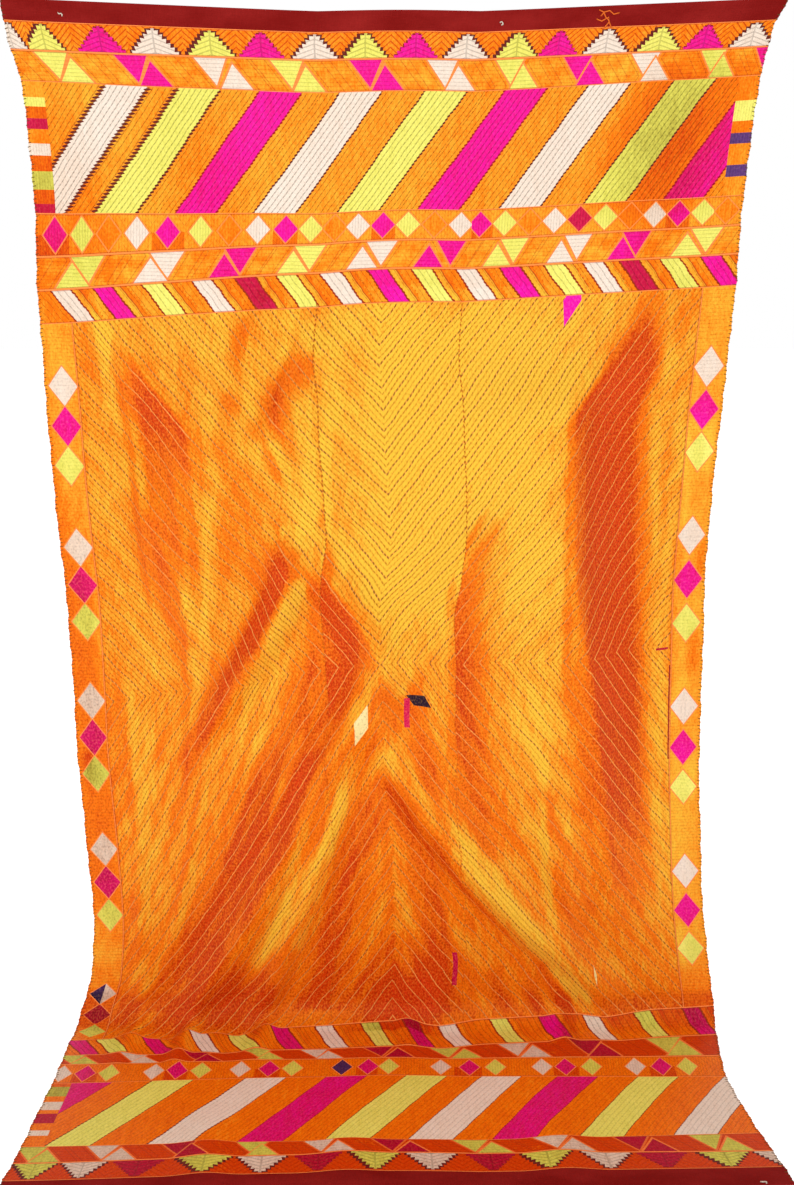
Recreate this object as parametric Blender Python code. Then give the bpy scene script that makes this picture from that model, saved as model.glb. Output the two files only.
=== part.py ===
"""Phulkari shawl: three joined lengths of handwoven cotton, held along the top edge.

The cloth hangs down from its top edge, bends at the floor and lies forward on it.
Metres, +Z up, -Y towards the side that is embroidered.  The origin is the middle of the
top edge.  A point of the cloth is named by how far it lies across (from the left side
edge) and down (from the top edge), both measured along the cloth.
"""

import math
from collections import namedtuple

import bpy
import numpy as np

# ---- Driving sizes -------------------------------------------------------------------
CLOTH_WIDTH = 1.28
CLOTH_LENGTH = 2.30
CLOTH_THICKNESS = 0.0016
SEAM_GAP = 0.0003
FLOOR_DROP = 1.82
BEND_RADIUS = 0.05

# The three joined lengths: name, where each ends across the cloth, columns in its wall
Panel = namedtuple("Panel", "name start end columns colour")
PANELS = (
    Panel("panel_left", 0.0, 0.515, 21, (0.86, 0.33, 0.03)),
    Panel("panel_middle", 0.515, 0.780, 11, (0.90, 0.38, 0.04)),
    Panel("panel_right", 0.780, CLOTH_WIDTH, 20, (0.86, 0.31, 0.03)),
)
CLOTH_ROWS = 64
CLOTH_ROUGHNESS = 0.45
ARC_SAMPLES = 600
NORMAL_STEP = 0.004
SHARP_ANGLE = math.radians(50.0)

# ---- Outline seen from the front: where the side edges are at each drop ----------------
Station = namedtuple("Station", "down left right")
STATIONS = (
    Station(0.00, -0.648, 0.640),
    Station(0.05, -0.640, 0.614),
    Station(0.15, -0.616, 0.596),
    Station(0.30, -0.608, 0.583),
    Station(0.45, -0.613, 0.575),
    Station(0.70, -0.605, 0.561),
    Station(1.00, -0.593, 0.551),
    Station(1.25, -0.588, 0.554),
    Station(1.45, -0.579, 0.568),
    Station(1.60, -0.576, 0.580),
    Station(1.72, -0.586, 0.597),
    Station(1.81, -0.610, 0.611),
    Station(1.90, -0.613, 0.601),
    Station(2.02, -0.612, 0.590),
    Station(2.12, -0.615, 0.599),
    Station(2.21, -0.618, 0.613),
    Station(2.30, -0.624, 0.626),
)

# The top edge dips in the middle, and each length sags a little between its seams
TOP_EDGE_DIP = 0.022
TOP_EDGE_SCALLOP = 0.003

# The cloth's length at its left edge, middle and right edge
LENGTH_ACROSS = (0.0, 0.5, 1.0)
LENGTH_AT = (2.326, 2.290, 2.303)

# ---- Relief: how far the hanging cloth stands out from its plane ------------------------
# The broad belly, by drop, and its spread across
BELLY_DEPTH = 0.055
BELLY_DOWN = (0.0, 0.45, 1.05, 1.50, 1.84)
BELLY_SHARE = (0.0, 0.35, 1.0, 0.50, 0.0)
BELLY_HALF_WIDTH = 0.56

# A gentle wave down each side edge: it fades in below the top and out above the floor
EDGE_WAVE_HEIGHT = 0.007
EDGE_WAVE_PITCH = 0.62
EDGE_WAVE_WIDTH = 0.16
EDGE_WAVE_FULL = 0.30
EDGE_WAVE_FADE = 1.40
EDGE_WAVE_END = 1.80
RIGHT_WAVE_LAG = 2.2

# A fold is a crest that runs down the cloth: its place across (from the centre line) and
# its height at each drop, the widths of its left and right flanks, and how crisp it is.
Fold = namedtuple("Fold", "name down across height left right crisp")

# Folds of the hanging cloth, which stand out from it and fade where it lies on the floor
HANGING_FOLDS = (
    Fold("right_main", (0.36, 0.55, 0.68, 0.92, 1.14, 1.47, 1.72),
         (0.480, 0.385, 0.300, 0.305, 0.345, 0.392, 0.420),
         (0.0, 0.034, 0.070, 0.076, 0.064, 0.034, 0.0), 0.40, 0.12, 0.60),
    Fold("right_of_centre", (0.78, 0.88, 1.00, 1.18, 1.46),
         (0.190, 0.130, 0.093, 0.092, 0.105),
         (0.0, 0.026, 0.031, 0.028, 0.0), 0.09, 0.08, 0.45),
    Fold("left_main", (0.42, 0.58, 0.70, 0.82, 0.98),
         (-0.515, -0.440, -0.358, -0.350, -0.335),
         (0.0, 0.034, 0.052, 0.040, 0.0), 0.12, 0.34, 0.50),
    Fold("left_low", (0.70, 0.86, 1.00, 1.18),
         (-0.475, -0.425, -0.372, -0.330),
         (0.0, 0.024, 0.026, 0.0), 0.08, 0.13, 0.35),
    Fold("seam_short", (0.47, 0.56, 0.65, 0.78),
         (-0.096, -0.135, -0.185, -0.230),
         (0.0, 0.025, 0.022, 0.0), 0.06, 0.12, 0.35),
    Fold("seam_upper", (0.46, 0.52, 0.58, 0.66),
         (-0.232, -0.250, -0.262, -0.272),
         (0.0, 0.013, 0.012, 0.0), 0.035, 0.060, 0.30),
    Fold("centre_left_upper", (0.84, 0.93, 1.02, 1.12, 1.32),
         (-0.205, -0.190, -0.218, -0.275, -0.405),
         (0.0, 0.040, 0.048, 0.040, 0.0), 0.065, 0.060, 0.35),
    Fold("plateau_left", (0.84, 0.92, 1.00, 1.10, 1.19, 1.28, 1.42, 1.57, 1.72, 1.84, 1.98),
         (-0.150, -0.128, -0.076, -0.033, -0.070, -0.122, -0.190, -0.262, -0.350, -0.430,
          -0.460),
         (0.0, 0.020, 0.036, 0.042, 0.040, 0.040, 0.046, 0.040, 0.030, 0.016, 0.0),
         0.068, 0.100, 0.35),
    Fold("centre_left_lower", (1.12, 1.20, 1.29, 1.42, 1.54),
         (-0.138, -0.165, -0.192, -0.256, -0.305),
         (0.0, 0.022, 0.028, 0.022, 0.0), 0.045, 0.045, 0.30),
    Fold("lower_left_inner", (1.30, 1.43, 1.57, 1.72, 1.84, 1.98),
         (-0.085, -0.125, -0.173, -0.236, -0.300, -0.330),
         (0.0, 0.022, 0.029, 0.026, 0.018, 0.0), 0.050, 0.055, 0.30),
    Fold("lower_right_long", (1.16, 1.30, 1.47, 1.62, 1.80, 1.96),
         (-0.045, 0.008, 0.118, 0.245, 0.395, 0.430),
         (0.0, 0.022, 0.036, 0.034, 0.018, 0.0), 0.060, 0.100, 0.30),
    Fold("lower_right_outer", (1.36, 1.48, 1.60, 1.74),
         (0.285, 0.298, 0.312, 0.330),
         (0.0, 0.014, 0.014, 0.0), 0.04, 0.07, 0.30),
    Fold("top_left", (0.04, 0.22, 0.42, 0.66),
         (-0.540, -0.505, -0.470, -0.450),
         (0.0, 0.010, 0.012, 0.0), 0.090, 0.120, 0.10),
    Fold("top_centre_left", (0.05, 0.25, 0.40, 0.62),
         (-0.300, -0.255, -0.230, -0.215),
         (0.0, 0.008, 0.010, 0.0), 0.120, 0.110, 0.10),
    Fold("top_centre", (0.06, 0.24, 0.42, 0.70),
         (0.060, 0.045, 0.030, 0.020),
         (0.0, 0.009, 0.012, 0.0), 0.120, 0.130, 0.10),
    Fold("top_right", (0.04, 0.20, 0.36, 0.56),
         (0.430, 0.405, 0.385, 0.350),
         (0.0, 0.010, 0.014, 0.0), 0.140, 0.110, 0.10),
    Fold("lower_middle", (1.56, 1.70, 1.82, 1.98),
         (0.060, 0.066, 0.078, 0.085),
         (0.0, 0.012, 0.020, 0.0), 0.075, 0.085, 0.20),
)

# Short folds where the cloth meets the floor, and along its hem, lifted off the floor
LYING_FOLDS = (
    Fold("foot_left", (1.68, 1.78, 1.86, 1.98),
         (-0.480, -0.492, -0.500, -0.515),
         (0.0, 0.010, 0.011, 0.0), 0.040, 0.032, 0.20),
    Fold("foot_left_inner", (1.70, 1.79, 1.87, 2.02),
         (-0.352, -0.382, -0.398, -0.415),
         (0.0, 0.012, 0.015, 0.0), 0.030, 0.030, 0.20),
    Fold("foot_middle_left", (1.68, 1.78, 1.86, 1.97),
         (-0.210, -0.238, -0.252, -0.268),
         (0.0, 0.013, 0.013, 0.0), 0.035, 0.030, 0.20),
    Fold("foot_middle", (1.66, 1.76, 1.84, 1.93),
         (0.016, 0.020, 0.022, 0.020),
         (0.0, 0.013, 0.013, 0.0), 0.032, 0.035, 0.20),
    Fold("foot_right", (1.70, 1.78, 1.85, 1.95),
         (0.300, 0.308, 0.312, 0.318),
         (0.0, 0.012, 0.012, 0.0), 0.035, 0.035, 0.20),
    Fold("hem_left", (2.06, 2.14, 2.22, 2.34),
         (-0.330, -0.318, -0.308, -0.300),
         (0.0, 0.005, 0.006, 0.002), 0.070, 0.060, 0.0),
    Fold("hem_middle", (1.98, 2.10, 2.22, 2.34),
         (-0.060, -0.075, -0.085, -0.090),
         (0.0, 0.004, 0.005, 0.002), 0.080, 0.080, 0.0),
    Fold("hem_right", (2.00, 2.12, 2.22, 2.34),
         (0.250, 0.262, 0.270, 0.275),
         (0.0, 0.005, 0.006, 0.002), 0.075, 0.075, 0.0),
)


def smooth_step(share):
    """Ease from 0 to 1 with level ends."""
    share = np.clip(share, 0.0, 1.0)
    return share * share * (3.0 - 2.0 * share)


def smooth_through(knots, values, at, level_ends=False):
    """A curve through the knots with no corners and no overshoot between them."""
    knots = np.asarray(knots, float)
    values = np.asarray(values, float)
    rises = np.diff(values) / np.diff(knots)
    slopes = np.zeros(len(knots))
    same_way = rises[:-1] * rises[1:] > 0.0
    total = rises[:-1] + rises[1:]
    total = np.where(same_way, total, 1.0)
    slopes[1:-1] = np.where(same_way, 2.0 * rises[:-1] * rises[1:] / total, 0.0)
    if not level_ends:
        slopes[0] = rises[0]
        slopes[-1] = rises[-1]
    at = np.clip(at, knots[0], knots[-1])
    piece = np.clip(np.searchsorted(knots, at, side="right") - 1, 0, len(knots) - 2)
    width = knots[piece + 1] - knots[piece]
    share = (at - knots[piece]) / width
    ease = smooth_step(share)
    start_bow = share * (1.0 - share) ** 2
    end_bow = share * share * (share - 1.0)
    straight = values[piece] * (1.0 - ease) + values[piece + 1] * ease
    return straight + width * (start_bow * slopes[piece] + end_bow * slopes[piece + 1])


def fold_relief(fold, across, down):
    """Height of one fold at places across the cloth, in one row."""
    if down <= fold.down[0] or down >= fold.down[-1]:
        return np.zeros_like(across)
    crest = smooth_through(fold.down, fold.across, down)
    height = smooth_through(fold.down, fold.height, down, level_ends=True)
    offset = across - crest
    reach = np.where(offset < 0.0, fold.left, fold.right)
    share = np.clip(np.abs(offset) / reach, 0.0, 1.0)
    round_top = 1.0 - smooth_step(share)
    crisp_top = (1.0 - share) ** 2
    return height * (fold.crisp * crisp_top + (1.0 - fold.crisp) * round_top)


def belly_relief(across, down):
    """The broad bulge of the hanging cloth."""
    share = smooth_through(BELLY_DOWN, BELLY_SHARE, down, level_ends=True)
    spread = 1.0 - smooth_step(np.abs(across) / BELLY_HALF_WIDTH)
    return BELLY_DEPTH * share * spread


def edge_relief(across, down, left, right):
    """A gentle wave down both side edges of the hanging cloth."""
    fade_in = smooth_step(down / EDGE_WAVE_FULL)
    fade_out = 1.0 - smooth_step((down - EDGE_WAVE_FADE) / (EDGE_WAVE_END - EDGE_WAVE_FADE))
    near_left = 1.0 - smooth_step((across - left) / EDGE_WAVE_WIDTH)
    near_right = 1.0 - smooth_step((right - across) / EDGE_WAVE_WIDTH)
    turn = 2.0 * math.pi * down / EDGE_WAVE_PITCH
    left_wave = 1.0 + math.sin(turn)
    right_wave = 1.0 + math.sin(turn + RIGHT_WAVE_LAG)
    waves = near_left * left_wave + near_right * right_wave
    return EDGE_WAVE_HEIGHT * fade_in * fade_out * waves


def outward_relief(across, down, left, right):
    """How far the hanging cloth stands out from its plane, in one row."""
    total = belly_relief(across, down) + edge_relief(across, down, left, right)
    for fold in HANGING_FOLDS:
        total = total + fold_relief(fold, across, down)
    return total


def lift_relief(across, down):
    """How far the short folds at the floor and the hem rise from the cloth, in one row."""
    total = np.zeros_like(across)
    for fold in LYING_FOLDS:
        total = total + fold_relief(fold, across, down)
    return total


def top_edge_rise(share):
    """Height of the top edge above its middle, by the share of the way across."""
    dip = TOP_EDGE_DIP * (2.0 * share - 1.0) ** 2
    bounds = [panel.start / CLOTH_WIDTH for panel in PANELS] + [1.0]
    span = np.clip(np.searchsorted(bounds, share, side="right") - 1, 0, len(PANELS) - 1)
    starts = np.asarray(bounds[:-1])[span]
    ends = np.asarray(bounds[1:])[span]
    scallop = TOP_EDGE_SCALLOP * np.sin(math.pi * (share - starts) / (ends - starts))
    middle = TOP_EDGE_SCALLOP * math.sin(math.pi * (0.5 - bounds[1]) / (bounds[2] - bounds[1]))
    return dip + scallop - middle


def hang_and_lie(run):
    """Plane of the cloth at a run below the top edge: y, z and the facing (y, z) there."""
    straight = FLOOR_DROP - BEND_RADIUS
    angle = np.clip((run - straight) / BEND_RADIUS, 0.0, 0.5 * math.pi)
    lying = np.maximum(run - straight - 0.5 * math.pi * BEND_RADIUS, 0.0)
    hanging = np.minimum(run, straight)
    y = -BEND_RADIUS * (1.0 - np.cos(angle)) - lying
    z = -hanging - BEND_RADIUS * np.sin(angle)
    return y, z, -np.cos(angle), np.sin(angle)


def cloth_row(down, across):
    """Points of the cloth's back in one row, for places measured along the cloth."""
    left = smooth_through([s.down for s in STATIONS], [s.left for s in STATIONS], down)
    right = smooth_through([s.down for s in STATIONS], [s.right for s in STATIONS], down)
    x = np.linspace(left, right, ARC_SAMPLES)
    share = (x - left) / (right - left)
    length = smooth_through(LENGTH_ACROSS, LENGTH_AT, share)
    run = down * length / CLOTH_LENGTH - top_edge_rise(share)
    y, z, face_y, face_z = hang_and_lie(run)
    outward = outward_relief(x, down, left, right)
    lift = lift_relief(x, down)
    points = np.stack([x, y - outward + lift * face_y, z + lift * face_z], axis=1)
    steps = np.linalg.norm(np.diff(points, axis=0), axis=1)
    arc = np.concatenate([[0.0], np.cumsum(steps)])
    wanted = np.asarray(across) / CLOTH_WIDTH * arc[-1]
    columns = [np.interp(wanted, arc, points[:, axis]) for axis in range(3)]
    return np.stack(columns, axis=1)


def cloth_rows(downs, across, facing):
    """Back points across the cloth, and the unit normals (towards the embroidered side)
    at the places named by facing, which are the seam lines at a panel's joined edges."""
    backs = []
    normals = []
    for down in downs:
        above = cloth_row(down - NORMAL_STEP, facing)
        below = cloth_row(down + NORMAL_STEP, facing)
        leftward = cloth_row(down, facing - NORMAL_STEP)
        rightward = cloth_row(down, facing + NORMAL_STEP)
        normal = np.cross(below - above, rightward - leftward)
        normal /= np.linalg.norm(normal, axis=1)[:, None]
        backs.append(cloth_row(down, across))
        normals.append(normal)
    return np.asarray(backs), np.asarray(normals)


def cut_along_folds(backs, centres):
    """For each cell of the grid, whether its diagonal from the upper left corner lies
    nearer the cloth than the other diagonal does."""
    falling = (backs[:-1, :-1] + backs[1:, 1:]) / 2
    rising = (backs[:-1, 1:] + backs[1:, :-1]) / 2
    miss_falling = np.linalg.norm(falling - centres, axis=2)
    miss_rising = np.linalg.norm(rising - centres, axis=2)
    return miss_falling <= miss_rising


def wall_mesh(name, backs, fronts, falling):
    """One closed wall between a grid of back points and a grid of front points."""
    rows, columns = backs.shape[:2]
    count = rows * columns
    corners = np.concatenate([backs.reshape(-1, 3), fronts.reshape(-1, 3)])
    faces = []
    for row in range(rows - 1):
        for column in range(columns - 1):
            a = row * columns + column
            b = a + 1
            c = a + columns + 1
            d = a + columns
            halves = ((a, b, c), (a, c, d)) if falling[row, column] else ((a, b, d), (b, c, d))
            for half in halves:
                faces.append(half)
                faces.append(tuple(count + corner for corner in reversed(half)))
    for column in range(columns - 1):
        top = column
        foot = (rows - 1) * columns + column
        faces.append((top + 1, top, count + top, count + top + 1))
        faces.append((foot, foot + 1, count + foot + 1, count + foot))
    for row in range(rows - 1):
        left = row * columns
        right = left + columns - 1
        # Both rims of a seam are cut along the same diagonal, so that they stay parallel
        faces.append((left, left + columns, count + left + columns))
        faces.append((left, count + left + columns, count + left))
        faces.append((right + columns, right, count + right + columns))
        faces.append((right, count + right, count + right + columns))
    mesh = bpy.data.meshes.new(name)
    mesh.from_pydata([tuple(point) for point in corners], [], faces)
    mesh.validate()
    return mesh


def cloth_material(panel):
    """Silk-covered cotton, in the colour of one length of the cloth."""
    material = bpy.data.materials.new(panel.name + "_cloth")
    material.use_nodes = True
    shader = material.node_tree.nodes["Principled BSDF"]
    shader.inputs["Base Color"].default_value = (*panel.colour, 1.0)
    shader.inputs["Roughness"].default_value = CLOTH_ROUGHNESS
    shader.inputs["Metallic"].default_value = 0.0
    return material


def add_panel(panel):
    """One woven length of the shawl as a closed wall."""
    start = panel.start + (SEAM_GAP / 2 if panel.start > 0.0 else 0.0)
    end = panel.end - (SEAM_GAP / 2 if panel.end < CLOTH_WIDTH else 0.0)
    facing = np.linspace(panel.start, panel.end, panel.columns + 1)
    across = np.clip(facing, start, end)
    downs = np.linspace(0.0, CLOTH_LENGTH, CLOTH_ROWS + 1)
    backs, normals = cloth_rows(downs, across, facing)
    between_rows = (downs[:-1] + downs[1:]) / 2
    between_columns = (across[:-1] + across[1:]) / 2
    centres = np.asarray([cloth_row(down, between_columns) for down in between_rows])
    falling = cut_along_folds(backs, centres)
    mesh = wall_mesh(panel.name, backs, backs + CLOTH_THICKNESS * normals, falling)
    mesh.shade_smooth()
    mesh.set_sharp_from_angle(angle=SHARP_ANGLE)
    mesh.materials.append(cloth_material(panel))
    panel_object = bpy.data.objects.new(panel.name, mesh)
    bpy.context.scene.collection.objects.link(panel_object)
    return panel_object


def clear_scene():
    """Remove every object that the scene starts with."""
    for old in list(bpy.data.objects):
        bpy.data.objects.remove(old, do_unlink=True)


def main():
    """Build the three lengths of the shawl."""
    clear_scene()
    for panel in PANELS:
        add_panel(panel)


main()
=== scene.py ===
"""Looks of the phulkari shawl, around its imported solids.

The cloth takes the solids' shape from the same sizes, tables and functions, with finer
creases.  A place on the cloth is named by how far it lies across (from the left side
edge) and down (from the top edge), both in metres along the cloth.
"""

import math
from collections import namedtuple
from functools import partial

import bpy
import numpy as np
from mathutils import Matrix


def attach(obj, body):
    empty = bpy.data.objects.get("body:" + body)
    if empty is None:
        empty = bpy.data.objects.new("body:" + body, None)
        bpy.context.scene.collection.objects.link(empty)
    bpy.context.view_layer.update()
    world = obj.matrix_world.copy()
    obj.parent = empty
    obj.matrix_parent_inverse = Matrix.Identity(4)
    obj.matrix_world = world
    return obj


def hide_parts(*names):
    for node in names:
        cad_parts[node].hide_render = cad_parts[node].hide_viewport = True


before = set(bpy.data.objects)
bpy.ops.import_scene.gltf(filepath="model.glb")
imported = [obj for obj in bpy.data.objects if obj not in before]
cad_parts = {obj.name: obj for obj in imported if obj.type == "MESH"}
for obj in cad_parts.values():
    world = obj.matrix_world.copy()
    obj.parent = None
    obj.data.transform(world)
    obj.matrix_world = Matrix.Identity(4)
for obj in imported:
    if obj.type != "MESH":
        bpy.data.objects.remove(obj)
bpy.context.scene.view_settings.view_transform = "Standard"
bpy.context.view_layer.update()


# ---- Driving sizes -------------------------------------------------------------------
CLOTH_WIDTH = 1.28
CLOTH_LENGTH = 2.30
CLOTH_THICKNESS = 0.0016
FLOOR_DROP = 1.82
BEND_RADIUS = 0.05

# The three joined lengths of the cloth
Panel = namedtuple("Panel", "name start end")
PANELS = (
    Panel("panel_left", 0.0, 0.515),
    Panel("panel_middle", 0.515, 0.780),
    Panel("panel_right", 0.780, CLOTH_WIDTH),
)
# Points on a row's curve, by which places along the cloth are found
ARC_SAMPLES = 600


# ---- Outline seen from the front: where the side edges are at each drop ----------------
Station = namedtuple("Station", "down left right")
STATIONS = (
    Station(0.00, -0.648, 0.640),
    Station(0.05, -0.640, 0.614),
    Station(0.15, -0.616, 0.596),
    Station(0.30, -0.608, 0.583),
    Station(0.45, -0.613, 0.575),
    Station(0.70, -0.605, 0.561),
    Station(1.00, -0.593, 0.551),
    Station(1.25, -0.588, 0.554),
    Station(1.45, -0.579, 0.568),
    Station(1.60, -0.576, 0.580),
    Station(1.72, -0.586, 0.597),
    Station(1.81, -0.610, 0.611),
    Station(1.90, -0.613, 0.601),
    Station(2.02, -0.612, 0.590),
    Station(2.12, -0.615, 0.599),
    Station(2.21, -0.618, 0.613),
    Station(2.30, -0.624, 0.626),
)

# The top edge dips in the middle, and each length sags a little between its seams
TOP_EDGE_DIP = 0.022
TOP_EDGE_SCALLOP = 0.003

# The cloth's length at its left edge, middle and right edge
LENGTH_ACROSS = (0.0, 0.5, 1.0)
LENGTH_AT = (2.326, 2.290, 2.303)


# ---- Relief: how far the hanging cloth stands out from its plane ------------------------
# The broad belly, by drop, and its spread across
BELLY_DEPTH = 0.055
BELLY_DOWN = (0.0, 0.45, 1.05, 1.50, 1.84)
BELLY_SHARE = (0.0, 0.35, 1.0, 0.50, 0.0)
BELLY_HALF_WIDTH = 0.56

# A gentle wave down each side edge: it fades in below the top and out above the floor
EDGE_WAVE_HEIGHT = 0.007
EDGE_WAVE_PITCH = 0.62
EDGE_WAVE_WIDTH = 0.16
EDGE_WAVE_FULL = 0.30
EDGE_WAVE_FADE = 1.40
EDGE_WAVE_END = 1.80
RIGHT_WAVE_LAG = 2.2

# A fold is a crest that runs down the cloth: its place across (from the centre line) and
# its height at each drop, the widths of its left and right flanks, and how crisp it is.
Fold = namedtuple("Fold", "name down across height left right crisp")

# Folds of the hanging cloth, which stand out from it and fade where it lies on the floor
HANGING_FOLDS = (
    Fold("right_main", (0.36, 0.55, 0.68, 0.92, 1.14, 1.47, 1.72),
         (0.480, 0.385, 0.300, 0.305, 0.345, 0.392, 0.420),
         (0.0, 0.034, 0.070, 0.076, 0.064, 0.034, 0.0), 0.40, 0.12, 0.60),
    Fold("right_of_centre", (0.78, 0.88, 1.00, 1.18, 1.46),
         (0.190, 0.130, 0.093, 0.092, 0.105),
         (0.0, 0.026, 0.031, 0.028, 0.0), 0.09, 0.08, 0.45),
    Fold("left_main", (0.42, 0.58, 0.70, 0.82, 0.98),
         (-0.515, -0.440, -0.358, -0.350, -0.335),
         (0.0, 0.034, 0.052, 0.040, 0.0), 0.12, 0.34, 0.50),
    Fold("left_low", (0.70, 0.86, 1.00, 1.18),
         (-0.475, -0.425, -0.372, -0.330),
         (0.0, 0.024, 0.026, 0.0), 0.08, 0.13, 0.35),
    Fold("seam_short", (0.47, 0.56, 0.65, 0.78),
         (-0.096, -0.135, -0.185, -0.230),
         (0.0, 0.025, 0.022, 0.0), 0.06, 0.12, 0.35),
    Fold("seam_upper", (0.46, 0.52, 0.58, 0.66),
         (-0.232, -0.250, -0.262, -0.272),
         (0.0, 0.013, 0.012, 0.0), 0.035, 0.060, 0.30),
    Fold("centre_left_upper", (0.84, 0.93, 1.02, 1.12, 1.32),
         (-0.205, -0.190, -0.218, -0.275, -0.405),
         (0.0, 0.040, 0.048, 0.040, 0.0), 0.065, 0.060, 0.35),
    Fold("plateau_left", (0.84, 0.92, 1.00, 1.10, 1.19, 1.28, 1.42, 1.57, 1.72, 1.84, 1.98),
         (-0.150, -0.128, -0.076, -0.033, -0.070, -0.122, -0.190, -0.262, -0.350, -0.430,
          -0.460),
         (0.0, 0.020, 0.036, 0.042, 0.040, 0.040, 0.046, 0.040, 0.030, 0.016, 0.0),
         0.068, 0.100, 0.35),
    Fold("centre_left_lower", (1.12, 1.20, 1.29, 1.42, 1.54),
         (-0.138, -0.165, -0.192, -0.256, -0.305),
         (0.0, 0.022, 0.028, 0.022, 0.0), 0.045, 0.045, 0.30),
    Fold("lower_left_inner", (1.30, 1.43, 1.57, 1.72, 1.84, 1.98),
         (-0.085, -0.125, -0.173, -0.236, -0.300, -0.330),
         (0.0, 0.022, 0.029, 0.026, 0.018, 0.0), 0.050, 0.055, 0.30),
    Fold("lower_right_long", (1.16, 1.30, 1.47, 1.62, 1.80, 1.96),
         (-0.045, 0.008, 0.118, 0.245, 0.395, 0.430),
         (0.0, 0.022, 0.036, 0.034, 0.018, 0.0), 0.060, 0.100, 0.30),
    Fold("lower_right_outer", (1.36, 1.48, 1.60, 1.74),
         (0.285, 0.298, 0.312, 0.330),
         (0.0, 0.014, 0.014, 0.0), 0.04, 0.07, 0.30),
    Fold("top_left", (0.04, 0.22, 0.42, 0.66),
         (-0.540, -0.505, -0.470, -0.450),
         (0.0, 0.010, 0.012, 0.0), 0.090, 0.120, 0.10),
    Fold("top_centre_left", (0.05, 0.25, 0.40, 0.62),
         (-0.300, -0.255, -0.230, -0.215),
         (0.0, 0.008, 0.010, 0.0), 0.120, 0.110, 0.10),
    Fold("top_centre", (0.06, 0.24, 0.42, 0.70),
         (0.060, 0.045, 0.030, 0.020),
         (0.0, 0.009, 0.012, 0.0), 0.120, 0.130, 0.10),
    Fold("top_right", (0.04, 0.20, 0.36, 0.56),
         (0.430, 0.405, 0.385, 0.350),
         (0.0, 0.010, 0.014, 0.0), 0.140, 0.110, 0.10),
    Fold("lower_middle", (1.56, 1.70, 1.82, 1.98),
         (0.060, 0.066, 0.078, 0.085),
         (0.0, 0.012, 0.020, 0.0), 0.075, 0.085, 0.20),
)

# Short folds where the cloth meets the floor, and along its hem, lifted off the floor
LYING_FOLDS = (
    Fold("foot_left", (1.68, 1.78, 1.86, 1.98),
         (-0.480, -0.492, -0.500, -0.515),
         (0.0, 0.010, 0.011, 0.0), 0.040, 0.032, 0.20),
    Fold("foot_left_inner", (1.70, 1.79, 1.87, 2.02),
         (-0.352, -0.382, -0.398, -0.415),
         (0.0, 0.012, 0.015, 0.0), 0.030, 0.030, 0.20),
    Fold("foot_middle_left", (1.68, 1.78, 1.86, 1.97),
         (-0.210, -0.238, -0.252, -0.268),
         (0.0, 0.013, 0.013, 0.0), 0.035, 0.030, 0.20),
    Fold("foot_middle", (1.66, 1.76, 1.84, 1.93),
         (0.016, 0.020, 0.022, 0.020),
         (0.0, 0.013, 0.013, 0.0), 0.032, 0.035, 0.20),
    Fold("foot_right", (1.70, 1.78, 1.85, 1.95),
         (0.300, 0.308, 0.312, 0.318),
         (0.0, 0.012, 0.012, 0.0), 0.035, 0.035, 0.20),
    Fold("hem_left", (2.06, 2.14, 2.22, 2.34),
         (-0.330, -0.318, -0.308, -0.300),
         (0.0, 0.005, 0.006, 0.002), 0.070, 0.060, 0.0),
    Fold("hem_middle", (1.98, 2.10, 2.22, 2.34),
         (-0.060, -0.075, -0.085, -0.090),
         (0.0, 0.004, 0.005, 0.002), 0.080, 0.080, 0.0),
    Fold("hem_right", (2.00, 2.12, 2.22, 2.34),
         (0.250, 0.262, 0.270, 0.275),
         (0.0, 0.005, 0.006, 0.002), 0.075, 0.075, 0.0),
)


def smooth_step(share):
    """Ease from 0 to 1 with level ends."""
    share = np.clip(share, 0.0, 1.0)
    return share * share * (3.0 - 2.0 * share)


def smooth_through(knots, values, at, level_ends=False):
    """A curve through the knots with no corners and no overshoot between them."""
    knots = np.asarray(knots, float)
    values = np.asarray(values, float)
    rises = np.diff(values) / np.diff(knots)
    slopes = np.zeros(len(knots))
    same_way = rises[:-1] * rises[1:] > 0.0
    total = rises[:-1] + rises[1:]
    total = np.where(same_way, total, 1.0)
    slopes[1:-1] = np.where(same_way, 2.0 * rises[:-1] * rises[1:] / total, 0.0)
    if not level_ends:
        slopes[0] = rises[0]
        slopes[-1] = rises[-1]
    at = np.clip(at, knots[0], knots[-1])
    piece = np.clip(np.searchsorted(knots, at, side="right") - 1, 0, len(knots) - 2)
    width = knots[piece + 1] - knots[piece]
    share = (at - knots[piece]) / width
    ease = smooth_step(share)
    start_bow = share * (1.0 - share) ** 2
    end_bow = share * share * (share - 1.0)
    straight = values[piece] * (1.0 - ease) + values[piece + 1] * ease
    return straight + width * (start_bow * slopes[piece] + end_bow * slopes[piece + 1])


def fold_relief(fold, across, down):
    """Height of one fold at places across the cloth, in one row."""
    if down <= fold.down[0] or down >= fold.down[-1]:
        return np.zeros_like(across)
    crest = smooth_through(fold.down, fold.across, down)
    height = smooth_through(fold.down, fold.height, down, level_ends=True)
    offset = across - crest
    reach = np.where(offset < 0.0, fold.left, fold.right)
    share = np.clip(np.abs(offset) / reach, 0.0, 1.0)
    round_top = 1.0 - smooth_step(share)
    crisp_top = (1.0 - share) ** 2
    return height * (fold.crisp * crisp_top + (1.0 - fold.crisp) * round_top)


def belly_relief(across, down):
    """The broad bulge of the hanging cloth."""
    share = smooth_through(BELLY_DOWN, BELLY_SHARE, down, level_ends=True)
    spread = 1.0 - smooth_step(np.abs(across) / BELLY_HALF_WIDTH)
    return BELLY_DEPTH * share * spread


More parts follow.
